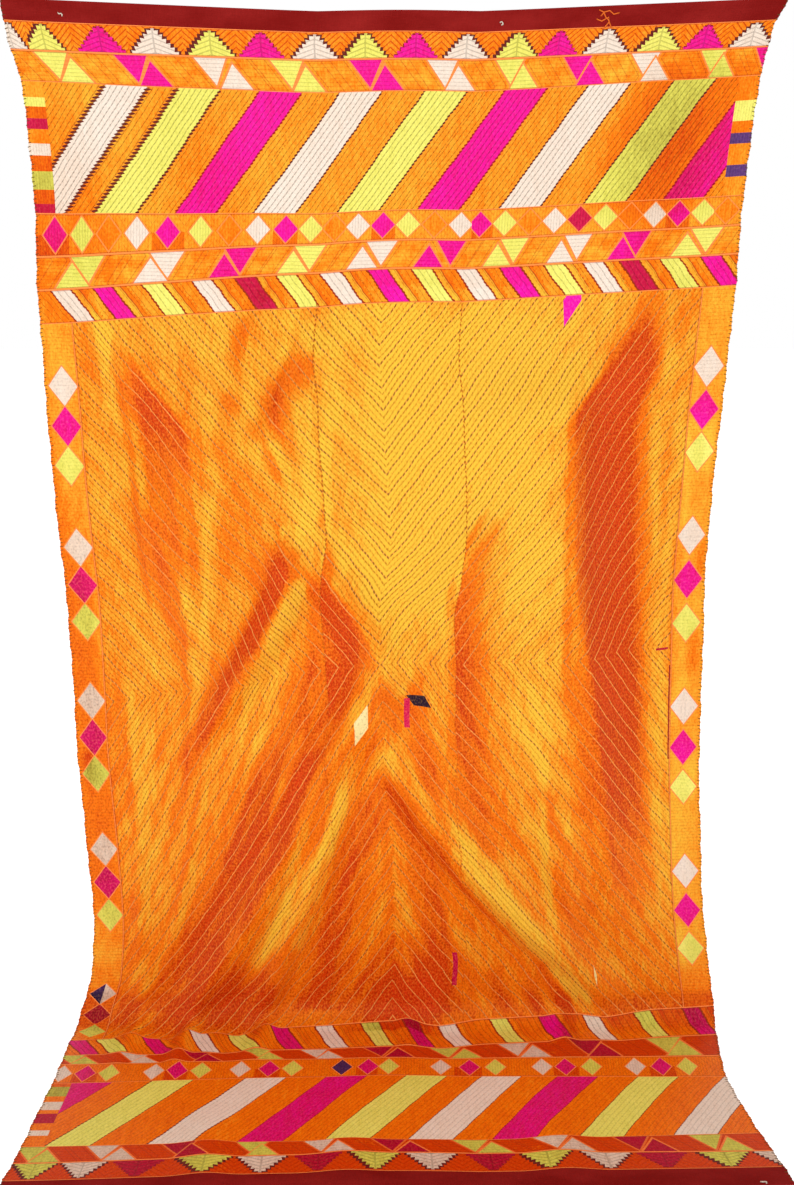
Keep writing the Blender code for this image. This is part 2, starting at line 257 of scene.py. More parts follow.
def edge_relief(across, down, left, right):
    """A gentle wave down both side edges of the hanging cloth."""
    fade_in = smooth_step(down / EDGE_WAVE_FULL)
    fade_out = 1.0 - smooth_step((down - EDGE_WAVE_FADE) / (EDGE_WAVE_END - EDGE_WAVE_FADE))
    near_left = 1.0 - smooth_step((across - left) / EDGE_WAVE_WIDTH)
    near_right = 1.0 - smooth_step((right - across) / EDGE_WAVE_WIDTH)
    turn = 2.0 * math.pi * down / EDGE_WAVE_PITCH
    left_wave = 1.0 + math.sin(turn)
    right_wave = 1.0 + math.sin(turn + RIGHT_WAVE_LAG)
    waves = near_left * left_wave + near_right * right_wave
    return EDGE_WAVE_HEIGHT * fade_in * fade_out * waves


def outward_relief(across, down, left, right):
    """How far the hanging cloth stands out from its plane, in one row."""
    total = belly_relief(across, down) + edge_relief(across, down, left, right)
    for fold in HANGING_FOLDS:
        total = total + fold_relief(fold, across, down)
    return total


def lift_relief(across, down):
    """How far the short folds at the floor and the hem rise from the cloth, in one row."""
    total = np.zeros_like(across)
    for fold in LYING_FOLDS:
        total = total + fold_relief(fold, across, down)
    return total


def top_edge_rise(share):
    """Height of the top edge above its middle, by the share of the way across."""
    dip = TOP_EDGE_DIP * (2.0 * share - 1.0) ** 2
    bounds = [panel.start / CLOTH_WIDTH for panel in PANELS] + [1.0]
    span = np.clip(np.searchsorted(bounds, share, side="right") - 1, 0, len(PANELS) - 1)
    starts = np.asarray(bounds[:-1])[span]
    ends = np.asarray(bounds[1:])[span]
    scallop = TOP_EDGE_SCALLOP * np.sin(math.pi * (share - starts) / (ends - starts))
    middle = TOP_EDGE_SCALLOP * math.sin(math.pi * (0.5 - bounds[1]) / (bounds[2] - bounds[1]))
    return dip + scallop - middle


def hang_and_lie(run):
    """Plane of the cloth at a run below the top edge: y, z and the facing (y, z) there."""
    straight = FLOOR_DROP - BEND_RADIUS
    angle = np.clip((run - straight) / BEND_RADIUS, 0.0, 0.5 * math.pi)
    lying = np.maximum(run - straight - 0.5 * math.pi * BEND_RADIUS, 0.0)
    hanging = np.minimum(run, straight)
    y = -BEND_RADIUS * (1.0 - np.cos(angle)) - lying
    z = -hanging - BEND_RADIUS * np.sin(angle)
    return y, z, -np.cos(angle), np.sin(angle)


def cloth_row(down, across):
    """Points of the cloth's back in one row, for places measured along the cloth."""
    left = smooth_through([s.down for s in STATIONS], [s.left for s in STATIONS], down)
    right = smooth_through([s.down for s in STATIONS], [s.right for s in STATIONS], down)
    x = np.linspace(left, right, ARC_SAMPLES)
    share = (x - left) / (right - left)
    length = smooth_through(LENGTH_ACROSS, LENGTH_AT, share)
    run = down * length / CLOTH_LENGTH - top_edge_rise(share)
    y, z, face_y, face_z = hang_and_lie(run)
    outward = outward_relief(x, down, left, right)
    lift = lift_relief(x, down)
    points = np.stack([x, y - outward + lift * face_y, z + lift * face_z], axis=1)
    steps = np.linalg.norm(np.diff(points, axis=0), axis=1)
    arc = np.concatenate([[0.0], np.cumsum(steps)])
    wanted = np.asarray(across) / CLOTH_WIDTH * arc[-1]
    columns = [np.interp(wanted, arc, points[:, axis]) for axis in range(3)]
    return np.stack(columns, axis=1)


# ---- The cloth's surface, for any place on it -----------------------------------------
GRID_STEP = 0.0025
WALL_LIFT = CLOTH_THICKNESS

# Finer creases than the solids have
CREASES = (
    Fold("seam_pucker_upper", (0.49, 0.54, 0.6, 0.68),
         (-0.15, -0.168, -0.19, -0.215), (0.0, 0.006, 0.006, 0.0), 0.018, 0.026, 0.3),
    Fold("seam_pucker_lower", (0.62, 0.68, 0.75, 0.84),
         (-0.235, -0.225, -0.2, -0.18), (0.0, 0.005, 0.005, 0.0), 0.02, 0.022, 0.3),
    Fold("left_streak_high", (0.5, 0.62, 0.78, 0.96, 1.1),
         (-0.48, -0.468, -0.452, -0.44, -0.432), (0.0, 0.004, 0.005, 0.004, 0.0), 0.016, 0.022, 0.3),
    Fold("left_streak_long", (0.66, 0.85, 1.1, 1.35, 1.55),
         (-0.395, -0.378, -0.372, -0.385, -0.41), (0.0, 0.004, 0.004, 0.004, 0.0), 0.018, 0.018, 0.3),
    Fold("left_streak_low", (1.12, 1.25, 1.42, 1.6, 1.74),
         (-0.5, -0.49, -0.484, -0.488, -0.5), (0.0, 0.004, 0.005, 0.005, 0.0), 0.02, 0.024, 0.3),
    Fold("left_streak_inner", (1.16, 1.3, 1.46, 1.62, 1.76),
         (-0.33, -0.352, -0.384, -0.42, -0.455), (0.0, 0.004, 0.005, 0.004, 0.0), 0.014, 0.018, 0.3),
    Fold("under_apex_ridge", (1.36, 1.46, 1.58, 1.72, 1.8),
         (-0.062, -0.078, -0.098, -0.124, -0.138), (0.0, 0.004, 0.005, 0.004, 0.0), 0.014, 0.018, 0.3),
    Fold("under_apex_ridge_right", (1.38, 1.5, 1.62, 1.76),
         (0.04, 0.062, 0.08, 0.094), (0.0, 0.004, 0.005, 0.0), 0.016, 0.014, 0.3),
    Fold("right_ridge_low", (1.26, 1.36, 1.48, 1.6, 1.7),
         (0.262, 0.272, 0.284, 0.3, 0.312), (0.0, 0.004, 0.005, 0.004, 0.0), 0.016, 0.012, 0.3),
    Fold("right_ridge_high", (0.56, 0.72, 0.9, 1.08, 1.24),
         (0.3, 0.288, 0.286, 0.29, 0.3), (0.0, 0.003, 0.004, 0.004, 0.0), 0.02, 0.016, 0.3),
    Fold("right_leg_foot", (1.24, 1.36, 1.47, 1.62, 1.76, 1.86),
         (-0.02, 0.03, 0.086, 0.208, 0.322, 0.39),
         (0.0, 0.004, 0.006, 0.006, 0.004, 0.0), 0.05, 0.042, 0.0),
    Fold("right_border_ridge", (0.6, 0.8, 1.05, 1.3, 1.5),
         (0.5, 0.492, 0.486, 0.49, 0.496), (0.0, 0.004, 0.004, 0.004, 0.0), 0.018, 0.022, 0.3),
)


def between_points(values, across, down):
    """Values of a grid over the cloth, between its points."""
    x = np.clip(np.asarray(across) / CLOTH_WIDTH, 0.0, 1.0) * (values.shape[1] - 1)
    y = np.clip(np.asarray(down) / CLOTH_LENGTH, 0.0, 1.0) * (values.shape[0] - 1)
    column = np.minimum(x.astype(int), values.shape[1] - 2)
    row = np.minimum(y.astype(int), values.shape[0] - 2)
    right = (x - column)[..., None]
    low = (y - row)[..., None]
    above = values[row, column] * (1 - right) + values[row, column + 1] * right
    below = values[row + 1, column] * (1 - right) + values[row + 1, column + 1] * right
    return above * (1 - low) + below * low


class Cloth:
    """The back of the cloth on a fine grid, with the normals towards the silk side."""

    def __init__(self):
        rows = int(round(CLOTH_LENGTH / GRID_STEP)) + 1
        columns = int(round(CLOTH_WIDTH / GRID_STEP)) + 1
        self.downs = np.linspace(0.0, CLOTH_LENGTH, rows)
        across = np.linspace(0.0, CLOTH_WIDTH, columns)
        self.points = np.asarray([cloth_row(down, across) for down in self.downs])
        everywhere = self.reliefs(SHEENS)
        self.sheens = {name: everywhere + self.reliefs(folds)
                       for name, folds in SEAM_SHEENS.items()}
        self.points = self.points + self.reliefs(CREASES) * self.grid_normals()
        self.normals = self.grid_normals()

    def grid_normals(self):
        """Unit normals at the grid's points."""
        along = np.gradient(self.points, axis=0)
        sideways = np.gradient(self.points, axis=1)
        normals = np.cross(along, sideways)
        return normals / np.linalg.norm(normals, axis=2)[:, :, None]

    def reliefs(self, folds):
        """The sum of a table's folds at the grid's points."""
        found = [sum(fold_relief(fold, row[:, 0], down) for fold in folds)
                 for down, row in zip(self.downs, self.points)]
        return np.asarray(found)[:, :, None]

    def normal(self, across, down):
        """Unit normals towards the silk side."""
        found = between_points(self.normals, across, down)
        return found / np.linalg.norm(found, axis=-1)[..., None]

    def change_of_tone(self, panel, across, down):
        """Change of the silk's tone that the painted sheens and shades make on one of the lengths."""
        return between_points(self.sheens[panel.name], across, down)[..., 0]

    def place(self, across, down, lift):
        """Points at a height over the cloth's back, and past its edges where asked."""
        across = np.asarray(across, float)
        down = np.asarray(down, float)
        inside = np.clip(across, 0.0, CLOTH_WIDTH)
        step = np.where(inside > CLOTH_WIDTH / 2, -GRID_STEP, GRID_STEP)
        points = between_points(self.points, inside, down)
        inward = between_points(self.points, inside + step, down) - points
        past = (across - inside) / step
        lift = np.broadcast_to(lift, across.shape)
        normal = self.normal(inside, down)
        return points + past[..., None] * inward + lift[..., None] * normal


# ---- Bands of embroidery, from the top edge to the hem ---------------------------------
# Each band's look, where it ends, as a length down the cloth at its left edge, middle and
# right edge, and how many rows of faces it takes
Band = namedtuple("Band", "name look left middle right rows")
BANDS = (
    Band("cotton_top", "cotton", 0.034, 0.032, 0.034, 7),
    Band("zigzag_top", "zigzag", 0.080, 0.075, 0.075, 9),
    Band("pairs_top", "pairs", 0.129, 0.126, 0.120, 9),
    Band("stripes_top", "stripes", 0.338, 0.315, 0.308, 37),
    Band("diamonds_top", "diamonds", 0.410, 0.364, 0.357, 11),
    Band("pairs_under_diamonds", "pairs_reversed", 0.465, 0.410, 0.404, 9),
    Band("slants_top", "slants", 0.522, 0.467, 0.457, 11),
    Band("field", "field", 1.8955, 1.818, 1.808, 256),
    Band("slants_bottom", "slants", 1.9455, 1.8965, 1.8755, 12),
    Band("pairs_under_field", "pairs", 1.9745, 1.9325, 1.9455, 9),
    Band("diamonds_bottom", "diamonds", 2.0335, 1.9895, 2.0125, 11),
    Band("stripes_bottom", "stripes_plain", 2.2095, 2.1705, 2.1725, 34),
    Band("pairs_bottom", "pairs", 2.2525, 2.2045, 2.2195, 9),
    Band("zigzag_bottom", "zigzag", 2.2950, 2.2510, 2.2600, 8),
    Band("cotton_bottom", "cotton", *LENGTH_AT, 8),
)
SIDE_BORDER = 0.060
BAR_COLUMN = 0.037
FIELD_CENTRE = (0.635, 1.086)
# How much lower the line where the rows turn lies for each metre to the left of the centre
FIELD_TILT = 0.17

# Colours that a motif can have, in the order of their numbers in the motif maps
COLOURS = ("orange", "white", "lime", "magenta", "crimson", "navy", "navy_and_white")
NAVY_NUMBER = 5.0
# Halfway from a colour's number to the next one, which a motif's number is compared with
PAST_WHITE = 1.5
PAST_LIME = 2.5
PAST_MAGENTA = 3.5
PAST_NAVY = NAVY_NUMBER + 0.5

# A row of motifs: their colours in turn, where each one's middle is across the cloth, half
# of its width or that as a share of the spacing, and the lean of the row's motifs (how
# far their foot is to the right of their top) at the left and right edge.
Motifs = namedtuple("Motifs", "colours across half share lean_left lean_right",
                    defaults=(0.0, 0.0, 0.0, 0.0))
UPPER_COLOURS = ("white", "lime", "magenta")
TRIPLETS = ("white", "magenta", "lime")
LOWER_COLOURS = ("lime", "white", "crimson")

MOTIFS = {
    "zigzag_top": Motifs(
        UPPER_COLOURS,
        (0.005, 0.060, 0.155, 0.245, 0.340, 0.425, 0.515, 0.600, 0.685, 0.770, 0.855, 0.925,
         1.005, 1.095, 1.170, 1.250), share=0.47),
    "pairs_top": Motifs(
        ("lime", "magenta", "white"),
        (0.065, 0.200, 0.335, 0.465, 0.600, 0.730, 0.845, 0.960, 1.075, 1.190, 1.280),
        share=0.215),
    "stripes_top": Motifs(
        UPPER_COLOURS, (0.100, 0.228, 0.371, 0.512, 0.661, 0.802, 0.948, 1.098, 1.240),
        0.0365, lean_left=-0.168, lean_right=-0.135),
    "diamonds_top": Motifs(
        ("magenta", "lime", "orange", "white") * 5
        + ("crimson", "lime", "orange", "white", "magenta", "lime", "orange"),
        (0.035, 0.085, 0.135, 0.185, 0.240, 0.300, 0.353, 0.405, 0.455, 0.500, 0.543, 0.585,
         0.630, 0.675, 0.722, 0.770, 0.805, 0.850, 0.895, 0.940, 0.985, 1.030, 1.075, 1.120,
         1.165, 1.210, 1.252), 0.0215),
    "pairs_under_diamonds": Motifs(
        ("lime", "white", "magenta"),
        (0.095, 0.240, 0.375, 0.500, 0.630, 0.755, 0.870, 0.985, 1.090, 1.220), share=0.225),
    "slants_top": Motifs(
        ("white", "magenta", "lime", "white", "crimson", "lime", "white", "magenta", "lime",
         "white", "magenta", "lime", "white", "crimson", "lime", "magenta"),
        (0.065, 0.145, 0.235, 0.325, 0.405, 0.480, 0.560, 0.645, 0.725, 0.805, 0.885, 0.965,
         1.035, 1.100, 1.175, 1.250), 0.0190, lean_left=0.048, lean_right=0.042),
    "slants_bottom": Motifs(
        ("magenta", "lime") + ("magenta", "white", "lime") * 4 + ("magenta",),
        (0.030, 0.085, 0.175, 0.270, 0.348, 0.435, 0.522, 0.610, 0.692, 0.765, 0.868, 0.962,
         1.052, 1.155, 1.250), 0.0180, lean_left=0.042, lean_right=0.036),
    "pairs_under_field": Motifs(
        LOWER_COLOURS,
        (0.015, 0.135, 0.260, 0.380, 0.490, 0.615, 0.745, 0.880, 1.020, 1.175), share=0.225),
    "diamonds_bottom": Motifs(
        TRIPLETS * 3 + ("navy", "magenta", "lime") + TRIPLETS * 3,
        (0.010, 0.055, 0.100, 0.185, 0.230, 0.275, 0.350, 0.405, 0.450, 0.545, 0.595, 0.635,
         0.735, 0.790, 0.840, 0.930, 0.975, 1.025, 1.110, 1.160, 1.210), 0.0195),
    "stripes_bottom": Motifs(
        ("magenta", "lime", "white"),
        (0.000, 0.152, 0.328, 0.482, 0.634, 0.777, 0.922, 1.075, 1.240),
        0.0385, lean_left=-0.148, lean_right=-0.148),
    "pairs_bottom": Motifs(
        LOWER_COLOURS,
        (0.020, 0.140, 0.270, 0.395, 0.510, 0.630, 0.770, 0.910, 1.050, 1.180), share=0.225),
    "zigzag_bottom": Motifs(
        LOWER_COLOURS,
        (0.040, 0.120, 0.210, 0.320, 0.415, 0.510, 0.605, 0.700, 0.800, 0.895, 0.995, 1.090,
         1.195, 1.285), share=0.46),
}
# The second motif of each pair, which is the lower one
SECOND_MOTIFS = {
    "pairs_top": (0.100, 0.235, 0.375, 0.500, 0.635, 0.760, 0.870, 0.985, 1.095, 1.210, 1.330),
    "pairs_under_diamonds": (0.065, 0.210, 0.345, 0.470, 0.595, 0.715, 0.840, 0.955, 1.065,
                             1.185),
    "pairs_under_field": (0.045, 0.160, 0.285, 0.405, 0.520, 0.655, 0.785, 0.920, 1.055, 1.210),
    "pairs_bottom": (0.050, 0.175, 0.295, 0.415, 0.545, 0.670, 0.810, 0.950, 1.090, 1.220),
}

# Diamonds down the side borders: colour, place down the cloth, half of the height
SideDiamond = namedtuple("SideDiamond", "colour down half_height")
DIAMOND_HALF_WIDTH = 0.0262
LEFT_BORDER_MIDDLE = 0.033
RIGHT_BORDER_MIDDLE = 1.2475


def side_triplets(starts, spacing, half_height):
    """White, magenta and lime diamonds below each start."""
    return tuple(SideDiamond(colour, start + place * spacing, half_height)
                 for start in starts for place, colour in enumerate(TRIPLETS))


LEFT_DIAMONDS = side_triplets((0.618, 0.898, 1.181, 1.465), 0.0680, 0.0335) + (
    SideDiamond("navy_and_white", 1.765, 0.021),
    SideDiamond("crimson", 1.806, 0.020),
    SideDiamond("lime", 1.845, 0.019),
)
RIGHT_DIAMONDS = (side_triplets((0.590,), 0.0735, 0.034)
                  + side_triplets((0.886, 1.199, 1.527), 0.0790, 0.034))

# Bars at the ends of the wide striped bands: the share of the band where each one starts
Bar = namedtuple("Bar", "start colour tone")
BARS = {
    "bars_top_left": (
        Bar(0.00, "orange", 0.0), Bar(0.12, "lime", 0.1), Bar(0.19, "orange", -0.4),
        Bar(0.28, "crimson", 0.0), Bar(0.36, "orange", -0.1), Bar(0.47, "white", 0.0),
        Bar(0.56, "orange", -0.4), Bar(0.68, "lime", -0.3), Bar(0.82, "orange", -0.4),
        Bar(0.93, "crimson", 0.0)),
    "bars_top_right": (
        Bar(0.00, "orange", 0.0), Bar(0.20, "lime", 0.3), Bar(0.37, "orange", -0.1),
        Bar(0.47, "navy", 0.3), Bar(0.56, "orange", 0.0), Bar(0.74, "navy", 0.3),
        Bar(0.84, "orange", 0.0)),
    "bars_bottom_left": (
        Bar(0.00, "orange", -0.2), Bar(0.06, "lime", -0.3), Bar(0.22, "orange", 0.0),
        Bar(0.31, "white", 0.0), Bar(0.44, "orange", 0.0), Bar(0.50, "crimson", 0.0),
        Bar(0.65, "orange", 0.0), Bar(0.76, "white", 0.1), Bar(0.84, "orange", 0.0)),
}

FLIPPED_BANDS = ("zigzag_bottom",)
MOTIF_UNIT = 0.1
MOTIF_REACH = 0.45
PANEL_COLUMNS = {"panel_left": (8, 5, 93), "panel_middle": (56,), "panel_right": (90, 5, 8)}


def band_edge(ends, across):
    """How far down a band's edge is, at places across the cloth."""
    share = np.asarray(across) / CLOTH_WIDTH
    length = smooth_through(LENGTH_ACROSS, ends, share)
    whole = smooth_through(LENGTH_ACROSS, LENGTH_AT, share)
    return length * CLOTH_LENGTH / whole


def panel_columns(panel):
    """Places across the cloth of a panel's columns, which keep to the side borders."""
    start, end = panel.start, panel.end
    stops = {
        "panel_left": (start, BAR_COLUMN, SIDE_BORDER, end),
        "panel_middle": (start, end),
        "panel_right": (start, CLOTH_WIDTH - SIDE_BORDER, CLOTH_WIDTH - BAR_COLUMN, end),
    }[panel.name]
    runs = [np.linspace(low, high, count, endpoint=False)
            for low, high, count in zip(stops[:-1], stops[1:], PANEL_COLUMNS[panel.name])]
    return np.concatenate(runs + [[end]])


def panel_rows(across):
    """Place down the cloth of each row of the wall at each column, with each row of
    faces' band and the shares of its band at its top and bottom."""
    downs = []
    bands = []
    shares = []
    above = band_edge((0.0, 0.0, 0.0), across)
    for number, band in enumerate(BANDS):
        below = band_edge((band.left, band.middle, band.right), across)
        for row in range(band.rows):
            share = row / band.rows
            downs.append(above * (1 - share) + below * share)
            bands.append(number)
            shares.append((share, (row + 1) / band.rows))
        above = below
    downs.append(above)
    return np.asarray(downs), np.asarray(bands), np.asarray(shares)


def nearest_motif(places, middles):
    """Number of the motif that is nearest to each face, from its corners' places."""
    return np.abs(places.mean(axis=1)[:, None] - middles[None, :]).argmin(axis=1)


def coloured_place(colours, nearest, offset):
    """The x of a motif's map: the number of its colour, plus the place across it in half
    widths, times the unit."""
    number = np.asarray([COLOURS.index(colour) for colour in colours])[nearest]
    return number[:, None] + np.clip(offset * MOTIF_UNIT, -MOTIF_REACH, MOTIF_REACH)


def band_motif_map(band_name, middles, across, share):
    """The motif map of a band's faces, from one row of its motifs: y is the place down it."""
    row = MOTIFS[band_name]
    middles = np.asarray(middles)
    colours = [row.colours[number % len(row.colours)] for number in range(len(middles))]
    halves = row.half + row.share * np.gradient(row.across)
    lean = row.lean_left + (row.lean_right - row.lean_left) * across / CLOTH_WIDTH
    upright = across - lean * (share - 0.5)
    nearest = nearest_motif(upright, middles)
    offset = (upright - middles[nearest][:, None]) / halves[nearest][:, None]
    height = 1.0 - share if band_name in FLIPPED_BANDS else share
    return np.stack([coloured_place(colours, nearest, offset), height], axis=2)


def border_motif_map(diamonds, middle, across, down):
    """The motif map of a side border's faces: y is the place down each diamond."""
    downs = np.asarray([diamond.down for diamond in diamonds])
    halves = np.asarray([diamond.half_height for diamond in diamonds])
    nearest = nearest_motif(down, downs)
    x = coloured_place([diamond.colour for diamond in diamonds], nearest,
                       (across - middle) / DIAMOND_HALF_WIDTH)
    return np.stack([x, (down - downs[nearest][:, None]) / halves[nearest][:, None]], axis=2)


def field_map(across, down):
    """The field's map: places beside and below the middle, where its rows turn."""
    beside = across - FIELD_CENTRE[0]
    below = down - FIELD_CENTRE[1] + FIELD_TILT * np.minimum(beside, 0.0)
    return np.stack([beside, below], axis=2)


def face_maps(across, down, share, bands):
    """Both motif maps and the look of each face, from its corners."""
    first = np.zeros(across.shape + (2,))
    second = np.zeros(across.shape + (2,))
    looks = np.empty(len(across), object)
    middle = across.mean(axis=1)
    borders = (
        (middle < SIDE_BORDER, LEFT_DIAMONDS, LEFT_BORDER_MIDDLE),
        (middle > CLOTH_WIDTH - SIDE_BORDER, RIGHT_DIAMONDS, RIGHT_BORDER_MIDDLE),
    )
    bar_sides = {"left": middle < BAR_COLUMN, "right": middle > CLOTH_WIDTH - BAR_COLUMN}
    for number, band in enumerate(BANDS):
        chosen = bands == number
        looks[chosen] = band.look
        if band.name in MOTIFS:
            first[chosen] = band_motif_map(
                band.name, MOTIFS[band.name].across, across[chosen], share[chosen])
        if band.name in SECOND_MOTIFS:
            second[chosen] = band_motif_map(
                band.name, SECOND_MOTIFS[band.name], across[chosen], share[chosen])
        if band.name == "field":
            first[chosen] = field_map(across[chosen], down[chosen])
            for side, diamonds, centre in borders:
                edge = chosen & side
                looks[edge] = "border"
                first[edge] = border_motif_map(diamonds, centre, across[edge], down[edge])
        for name, side in bar_sides.items():
            look = band.name.replace("stripes", "bars") + "_" + name
            if look in BARS:
                looks[chosen & side] = look
                first[chosen & side, :, 1] = share[chosen & side]
    return first, second, looks


# ---- Painted sheen and shade of the silk -----------------------------------------------
# Painted shade: tone of hanging and lying cloth, and how far it falls as the cloth turns sideways or down
TONE_HANGING = 0.66
TONE_LYING = 0.46
TONE_SIDEWAYS = 0.42
TONE_DOWNWARDS = 0.70
TONE_MIDDLE_WIDTH = 0.16
LOWEST_TONE = -0.45
HIGHEST_TONE = 1.0
# Painted shade on the cloth just above the floor, where it turns its sheen away
FOOT_DOWN = (1.64, 1.75, 1.80, 1.86)
FOOT_TONE = (0.0, -0.10, -0.12, 0.0)


def sheen(name, down, across, change, left, right=None, crisp=0.0):
    """A fold of painted sheen or shade, whose height is a change of tone: one for each place
    down the cloth, or a single one that fades at both ends."""
    if not isinstance(change, tuple):
        change = (0.0,) + (change,) * (len(down) - 2) + (0.0,)
    return Fold(name, down, across, change, left, right or left, crisp)


